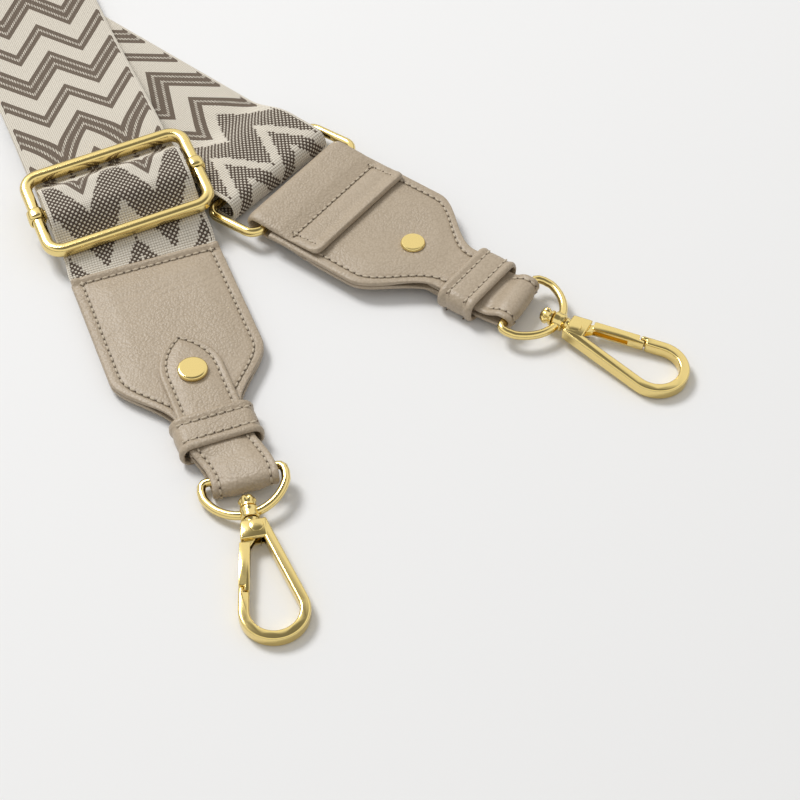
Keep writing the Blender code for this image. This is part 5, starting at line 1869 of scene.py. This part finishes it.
    def on_surface(self, rows: np.ndarray, thickness: float, spots: list) -> list:
        """Points of a row of sewing on the outer face of a strip.

        Args:
            rows: dense rows of the strip.
            thickness: thickness of the strip.
            spots: (distance along, distance from the middle or from the nearer edge, side), where side
                is 0 for a distance from the middle.

        Returns:
            Points with normals.
        """
        up, run = row_axes(rows)
        out = []
        for along, distance, side in spots:
            row = rows_at(np.array([along]), run, rows)[0]
            normal = unit_rows(rows_at(np.array([along]), run, up))[0]
            sideways = distance if side == 0 else side * max(row[6] - distance, 0.0002)
            point = row[:3] + row[3:6] * sideways + normal * (thickness / 2 + 0.00006)
            out.append((point.tolist(), normal.tolist()))
        return out

    def build_stitches(self) -> None:
        """Sewing on both faces of the panels and along the hook strap."""
        stack, lie, inset = self.stack, self.lie, self.stitch_inset
        whole = stack.tab_length + stack.neck_length
        front_length, back_length, strap_length = (
            float(row_axes(lain)[1][-1]) for lain in (self.front_lie, self.back_lie, self.strap_lie))
        neck = 0.012
        front_start = front_length - whole + 0.018 if lie.turned_over else self.first_stitch
        back_start = self.first_stitch + self.back_start * 0.5
        # Rows along both sides: strip, thickness, first and last stitch, number of points, inset
        lengthwise = (
            (self.front_lie, stack.leather, front_start, front_length - neck, 60, inset),
            (self.back_lie, stack.leather, back_start, back_length - neck, 60, inset),
            (self.strap_lie, stack.core, strap_length * 0.40, strap_length - 0.0022, 60, self.strap_inset),
        )
        # Rows across: strip, distance along, half of the row's length
        reach = stack.tab_width / 2 - inset
        crosswise = ((self.front_lie, self.first_stitch, reach), (self.back_lie, self.first_stitch, reach))
        if lie.turned_over:
            flap_top = stack.leather + 0.0006
            lengthwise += ((self.front_lie, flap_top, 0.0026, self.flap_row, 10, self.flap_inset),)
            crosswise = ((self.front_lie, self.flap_row, self.flap_width / 2 - self.flap_inset),)
        rows = []
        for lain, thickness, start, end, count, from_edge in lengthwise:
            for side in (1, -1):
                spots = [(mark, from_edge, side) for mark in np.linspace(start, end, count)]
                rows.append(self.on_surface(lain, thickness, spots))
        for lain, mark, reach in crosswise:
            spots = [(mark, sideways, 0) for sideways in np.linspace(-reach, reach, 20)]
            rows.append(self.on_surface(lain, stack.leather, spots))
        Stitching(self.bench, self.finishes).sew(self.name("sewing"), lie.leather_body, rows, lie.place)

    def build_rivet(self) -> None:
        """Cap with its post from the front, closing half from the back."""
        radius, height = self.cap_radius, self.cap_height
        base = self.stack.top + GAP
        profile = [(0, 0.0016), (base, 0.0016), (base, radius - 0.0006), (base + 0.0003, radius - 0.00015),
                   (base + 0.0006, radius), (base + height * 0.72, radius),
                   (base + height * 0.86, radius - 0.00014),
                   (base + height * 0.96, radius - 0.00042), (base + height, radius - 0.0009),
                   (base + height, radius - 0.0012), (base + height, 0.0002)]
        place = self.lie.place @ Matrix.Rotation(-math.pi / 2, 4, "Y")
        cap = turned_solid(self.name("rivet_cap_gilt"), profile, steps=48)
        self.gild(cap, self.lie.leather_body, "rivet_cap", place)
        radius, height = self.back_radius, self.back_height
        profile = [(-GAP, radius - 0.0003), (-GAP - 0.0003, radius), (-GAP - height * 0.6, radius - 0.0001),
                   (-GAP - height * 0.92, radius - 0.0004), (-GAP - height, radius - 0.0009),
                   (-GAP - height, radius - 0.0012), (-GAP - height, 0.0002)]
        back = turned_solid(self.name("rivet_back_gilt"), profile, steps=48)
        self.gild(back, self.lie.leather_body, "rivet_back", place)

    def build(self) -> None:
        """Builds the leather and its rivet."""
        self.build_leather()
        self.build_rivet()


# D-ring, swivel and hook


@dataclass
class SwivelHook(EndPart):
    """D-ring, swivel post, trigger hook, gate, pin and spring of one end."""

    ring_depth: float = 0.0165
    ring_half: float = 0.01505
    ring_wire: float = 0.0015
    boss_radius: float = 0.0032
    boss_length: float = 0.0040
    post_radius: float = 0.0015
    crown_radius: float = 0.00275
    crown_length: float = 0.0049
    pin_from_bar: float = 0.0230
    pin_offset: float = 0.0013
    thickness: float = 0.0046
    section: float = 0.0036
    edge: float = 0.0009
    block_thickness: float = 0.0052
    neck_radius: float = 0.0026
    spine_start: tuple = (-0.0030, 0.0018)
    gate_start: tuple = (0.0, -0.0038)
    bow_centre: tuple = (0.0319, 0.0006)
    bow_radius: float = 0.0097
    notch_from_pin: float = 0.0222
    notch_step: float = 0.0020
    notch_gap: float = 0.0004
    gate_thickness: float = 0.0038
    gate_width: float = 0.0036
    root_thickness: float = 0.0026
    root_radius: float = 0.00195
    bar_from_pin: float = 0.0052

    @property
    def hook_place(self) -> Matrix:
        """Places the hook's frame: on the D-ring's bar, tipped until the bow is down."""
        lie, stack = self.lie, self.stack
        height = stack.rest_above - lie.bar_level if lie.turned_over else stack.rest_below + lie.bar_level
        reach = self.pin_from_bar + self.bow_centre[0] + self.bow_radius + self.section / 2
        tip = math.asin((height - self.thickness / 2) / reach) * (-1 if lie.turned_over else 1)
        local = (Matrix.Translation((lie.d_ring_bar, lie.hook_shift, lie.bar_level))
                 @ Matrix.Rotation(lie.hook_turn, 4, "Z") @ Matrix.Rotation(tip, 4, "Y"))
        return lie.place @ local

    def tangent(self, start: tuple, side: int) -> tuple[float, Vector]:
        """Line from a point to the bow's circle.

        Args:
            start: the point.
            side: 1 where the circle is passed on the left, and -1 on the right.

        Returns:
            The line's heading and the point where it touches the circle.
        """
        apart = Vector(self.bow_centre) - Vector(start)
        heading = math.atan2(apart.y, apart.x) + side * math.asin(self.bow_radius / apart.length)
        normal = Vector((-math.sin(heading), math.cos(heading)))
        return heading, Vector(self.bow_centre) + normal * (self.bow_radius * side)

    def offset(self, points: list, distance: float) -> list:
        """Points moved to the left of the way that they run."""
        out = []
        for index, point in enumerate(points):
            way = points[min(index + 1, len(points) - 1)] - points[max(index - 1, 0)]
            out.append(point + Vector((-way.y, way.x)).normalized() * distance)
        return out

    def hook_outline(self) -> list:
        """Outline of the spine, the bow and the nose with its stepped notch, about the gate pin."""
        spine_heading, spine_touch = self.tangent(self.spine_start, 1)
        gate_heading, gate_touch = self.tangent(self.gate_start, -1)
        first, last = spine_heading + math.pi / 2, gate_heading - math.pi / 2
        centre = Vector(self.bow_centre)
        line = [Vector(self.spine_start), spine_touch]
        steps = 40
        for index in range(1, steps):
            turn = first + (last - first) * index / steps
            line.append(centre + Vector((math.cos(turn), math.sin(turn))) * self.bow_radius)
        line.append(gate_touch)
        back = Vector((math.cos(gate_heading), math.sin(gate_heading)))
        long_end = Vector(self.gate_start) + back * self.notch_from_pin
        short_end = long_end + back * self.notch_step
        step_gap = Vector((back.y, -back.x)) * (GAP / 2)
        half = self.section / 2
        outer = self.offset(line + [long_end], half)
        inner = self.offset(line + [short_end], -half)
        return outer + [long_end + step_gap, short_end + step_gap] + inner[::-1]

    def gate_outline(self) -> list:
        """Outline of the gate's bar, from the block to its stepped end."""
        heading, _ = self.tangent(self.gate_start, -1)
        back = Vector((math.cos(heading), math.sin(heading)))
        inwards = Vector((-back.y, back.x))
        side = inwards * (self.gate_width / 2)
        step_gap = inwards * (GAP / 2)
        start = Vector(self.gate_start)
        root = start + back * self.bar_from_pin
        short_end = start + back * (self.notch_from_pin - self.notch_gap)
        long_end = short_end + back * self.notch_step
        stepped = [short_end - side, short_end + step_gap, long_end + step_gap, long_end + side]
        return [root + side, root - side] + stepped

    def build_ring(self) -> None:
        """D-ring with the boss that the swivel post turns in."""
        arc = []
        for index in range(33):
            turn = math.radians(22 + 136 * index / 32)
            arc.append(Vector((self.ring_depth * math.sin(turn), self.ring_half * math.cos(turn))))
        corners = [Vector((self.ring_depth * deep, self.ring_half * wide))
                   for wide, deep in ((0.79, 0.0), (0.86, 0.012), (0.925, 0.08), (0.945, 0.2))]
        mirrored = [Vector((spot.x, -spot.y)) for spot in reversed(corners)]
        path = corners + arc + mirrored
        wire = flat_sweep("wire", path, circle(self.ring_wire, 18))
        half = self.boss_length / 2
        flare = self.boss_radius
        bore = self.post_radius + 0.00012
        profile = [(-half, bore), (-half, flare * 0.86), (-half + 0.0004, flare), (-0.0006, flare),
                   (0, flare * 0.95), (0.0006, flare), (half - 0.0004, flare), (half, flare * 0.86),
                   (half, bore)]
        boss = Matrix.Translation((self.ring_depth, 0, 0))
        mesh = joined(self.name("d_ring_gilt"), [(wire, Matrix()), (turned_solid("boss", profile), boss)])
        roll = Matrix.Rotation(self.lie.d_ring_roll, 4, "X")
        self.gild(mesh, self.name("d_ring"), "d_ring", self.hook_place @ roll)

    def build_post(self) -> None:
        """Swivel post with its crimped crown."""
        crown_end = self.ring_depth - self.boss_length / 2 - GAP
        start = crown_end - self.crown_length
        wide = self.crown_radius
        neck = self.ring_depth + self.boss_length / 2 + GAP
        profile = [(start, 0.0004, 0), (start + 0.0001, wide * 0.5, 0.3), (start + 0.0005, wide * 0.74, 1),
                   (start + 0.0014, wide * 0.98, 1), (start + 0.0024, wide * 1.02, 1),
                   (start + 0.0031, wide * 0.86, 0.6), (start + 0.0035, wide * 0.82, 0),
                   (start + 0.0039, wide, 0), (crown_end - 0.0003, wide, 0), (crown_end, wide * 0.8, 0),
                   (crown_end, self.post_radius, 0), (neck + 0.0016, self.post_radius, 0)]
        mesh = turned_solid(self.name("swivel_post_gilt"), profile, lobes=6, depth=0.22, steps=48)
        self.gild(mesh, self.name("hook"), "swivel_post", self.hook_place)

    def build_hook(self) -> None:
        """Block, neck, spine and bow in one casting."""
        pin = Matrix.Translation((self.pin_from_bar, self.pin_offset, 0))
        bow = plate("bow", self.hook_outline(), self.thickness, self.edge, 4)
        corners = [(-0.0028, -0.0048), (0.0042, -0.0060), (0.0042, 0.0030), (-0.0028, 0.0034)]
        block = plate("block", corners, self.block_thickness, 0.0006, 3)
        slot = box("slot", (-0.0023, -0.0075, -self.root_thickness / 2 - 0.00015),
                   (0.0055, 0.0023, self.root_thickness / 2 + 0.00015))
        neck_start = self.ring_depth + self.boss_length / 2 + GAP - self.pin_from_bar
        wide = self.neck_radius
        neck = turned_solid("neck", [(neck_start, wide * 0.55), (neck_start, wide * 0.85),
                                     (neck_start + 0.0004, wide), (neck_start + 0.0010, wide * 0.9),
                                     (-0.0020, wide * 0.9), (-0.0020, wide * 0.4)])
        neck.transform(Matrix.Translation((0, -self.pin_offset, 0)))
        whole = carved("casting", bow, [(block, "UNION"), (neck, "UNION"), (slot, "DIFFERENCE")])
        whole.name = self.name("hook_gilt")
        self.gild(whole, self.name("hook"), "hook", self.hook_place @ pin)

    def build_gate(self) -> None:
        """Channel-section gate with its two ears on the pin."""
        pin = self.hook_place @ Matrix.Translation((self.pin_from_bar, self.pin_offset, 0))
        heading, _ = self.tangent(self.gate_start, -1)
        back = Vector((math.cos(heading), math.sin(heading)))
        bar = plate("gate_bar", self.gate_outline(), self.gate_thickness, 0.0004, 2)
        bar_start = Vector(self.gate_start) + back * (self.bar_from_pin + self.root_radius)
        side = Vector((-back.y, back.x)) * (self.gate_width / 2 - GAP)
        root = [bar_start + side, bar_start - side]
        for index in range(17):
            turn = heading - math.pi / 2 - math.pi * index / 16
            root.append(Vector((math.cos(turn), math.sin(turn))) * self.root_radius)
        ears = plate("gate_ears", root, self.root_thickness, 0.0002, 1)
        turned_in = Matrix.Rotation(heading, 4, "Z")
        length = self.notch_from_pin - 0.0040
        channel = box("gate_channel", (0, 0.0011 - self.gate_width / 2, -0.0010),
                      (length, self.gate_width + self.root_radius, 0.0010))
        channel.transform(Matrix.Translation((*self.gate_start, 0)) @ turned_in)
        pocket = turned_solid("pocket", [(-0.00085, 0.0020), (0.00085, 0.0020)])
        pocket.transform(X_ONTO_Z)
        mesh = carved("gate_shape", bar, [(ears, "UNION"), (channel, "DIFFERENCE"), (pocket, "DIFFERENCE")])
        mesh.name = self.name("gate_gilt")
        self.gild(mesh, self.name("gate"), "gate", pin)

        half = self.block_thickness / 2
        head, rise = 0.00235, 0.00055
        profile = [(-half - rise, 0.0003), (-half - rise, head * 0.6), (-half - rise * 0.7, head * 0.92),
                   (-half - 0.00005, head), (-half - 0.00005, 0.00095), (half + 0.00005, 0.00095),
                   (half + 0.00005, head), (half + rise * 0.7, head * 0.92), (half + rise, head * 0.6),
                   (half + rise, 0.0003)]
        rivet = turned_solid(self.name("gate_pin_gilt"), profile)
        rivet.transform(X_ONTO_Z)
        self.gild(rivet, self.name("hook"), "gate_pin", pin)

    def build_spring(self) -> None:
        """Torsion spring of round wire: a leg in the gate, two turns round the pin, a leg in the block."""
        heading, _ = self.tangent(self.gate_start, -1)
        coil, pitch, wire, turns = 0.00145, 0.00055, 0.00016, 2
        along = Vector((math.cos(heading), math.sin(heading), 0))
        points = []
        for index in range(20 * turns + 1):
            share = index / (20 * turns)
            turn = heading + math.pi / 2 - 2 * math.pi * turns * share
            height = pitch * turns * (share - 0.5)
            points.append(Vector((coil * math.cos(turn), coil * math.sin(turn), height)))
        leg = [points[0] + along * 0.006, points[0] + along * 0.003]
        points = leg + points + [points[-1] + along * 0.0015]
        rings = []
        for index, point in enumerate(points):
            way = (points[min(index + 1, len(points) - 1)] - points[max(index - 1, 0)]).normalized()
            side = way.cross(Z_UP).normalized()
            top = side.cross(way)
            rings.append([point + side * spot.x + top * spot.y for spot in circle(wire, 8)])
        place = self.hook_place @ Matrix.Translation((self.pin_from_bar, self.pin_offset, 0))
        self.bench.lay(loft(self.name("gate_spring_wire"), rings), self.finishes.steel, self.name("hook"),
                  (self.name("gate_spring"),), "spring_steel", place)

    def build(self) -> None:
        """Builds the metal of the end."""
        self.build_ring()
        self.build_post()
        self.build_hook()
        self.build_gate()
        self.build_spring()


# Studio


@dataclass(frozen=True)
class Studio:
    """Pale floor, soft light from the upper left and the camera at the photograph's angle."""

    target: tuple = (0.07076, -0.00652, 0.0)
    elevation: float = math.radians(49.3)
    distance: float = 0.7128
    lens: float = 93.735
    floor_colour: str = "#EEEEEE"
    floor_size: float = 6.0

    def build(self) -> None:
        """Builds the floor, the lamps, the world and the camera."""
        scene = bpy.context.scene
        scene.view_settings.view_transform = "Standard"
        half = self.floor_size / 2
        mesh = bpy.data.meshes.new("studio_floor")
        corners = [(-half, -half, 0), (half, -half, 0), (half, half, 0), (-half, half, 0)]
        mesh.from_pydata(corners, [], [(0, 1, 2, 3)])
        floor = bpy.data.objects.new("studio_floor", mesh)
        scene.collection.objects.link(floor)
        mesh.materials.append(SmoothFinish("studio_paper", self.floor_colour, 0.9).build())

        world = bpy.data.worlds.new("studio_world")
        scene.world = world
        world.use_nodes = True
        tree = world.node_tree
        tree.nodes.clear()
        way = add_node(tree, "ShaderNodeTexCoord").outputs["Generated"]
        parts = add_node(tree, "ShaderNodeSeparateXYZ", {}, {0: way})
        known = {"height": parts.outputs[2]}
        # A mirror sees a room that is darker at the horizon and straight overhead
        follow_recipe(tree, known, [
            ("lit", "LINEAR", "height", -0.2, 1.0, 0.36, 0.62),
            ("overhead", "SMOOTHSTEP", "height", 0.79, 0.90, 1.0, 0.22),
            ("horizon", "SMOOTHSTEP", "height", 0.05, 0.35, 0.25, 1.0),
            ("seen", "MULTIPLY", "overhead", "horizon"),
        ])
        shown = {}
        for name, colour, strength in (("sky", "#FAF9F7", "lit"), ("mirrored", "#FFFDF8", "seen")):
            shown[name] = add_node(tree, "ShaderNodeBackground", {"Color": srgb(colour)},
                                   {"Strength": known[strength]}).outputs[0]
        plain = add_node(tree, "ShaderNodeBackground", {"Color": srgb(self.floor_colour), "Strength": 1.0})
        rays = add_node(tree, "ShaderNodeLightPath")
        glossy = add_node(tree, "ShaderNodeMixShader", {},
                          {0: rays.outputs["Is Glossy Ray"], 1: shown["sky"], 2: shown["mirrored"]})
        mix = add_node(tree, "ShaderNodeMixShader", {},
                       {0: rays.outputs["Is Camera Ray"], 1: glossy.outputs[0], 2: plain.outputs[0]})
        add_node(tree, "ShaderNodeOutputWorld", {}, {0: mix.outputs[0]})

        self.lamp("key_softbox", place=(-1.25, 1.30, 2.20), size=0.95, power=54.0)
        camera = bpy.data.cameras.new("photo_camera")
        camera.lens = self.lens
        camera.sensor_width = 36
        camera.clip_start = 0.01
        eye = bpy.data.objects.new("photo_camera", camera)
        scene.collection.objects.link(eye)
        back = Vector((0, -math.cos(self.elevation), math.sin(self.elevation))) * self.distance
        eye.location = Vector(self.target) + back
        eye.rotation_euler = (math.pi / 2 - self.elevation, 0, 0)
        scene.camera = eye

    def lamp(self, name: str, place: tuple, size: float, power: float) -> None:
        """Hangs a square softbox that looks at the part.

        Args:
            name: name of the lamp.
            place: where it hangs.
            size: length of its side.
            power: its light in watts.
        """
        light = bpy.data.lights.new(name, "AREA")
        light.size = size
        light.energy = power
        lamp = bpy.data.objects.new(name, light)
        bpy.context.scene.collection.objects.link(lamp)
        lamp.location = place
        lamp.rotation_euler = (Vector(place) - Vector(self.target)).to_track_quat("Z", "Y").to_euler()


def main() -> None:
    """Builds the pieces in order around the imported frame."""
    logging.basicConfig(level=logging.INFO, format="%(message)s")
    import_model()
    route = Route()
    finishes = Finishes(Weave(fold_place=route.fold_place()))
    bench = Bench()
    Webbing(bench, finishes, route).build()
    Slider(bench, finishes, route).build()
    LinkRing(bench, finishes, route).build()
    for lie in (SLIDER_END, RING_END):
        LeatherEnd(bench, finishes, lie).build()
        SwivelHook(bench, finishes, lie).build()
    Studio().build()


if __name__ == "__main__":
    main()
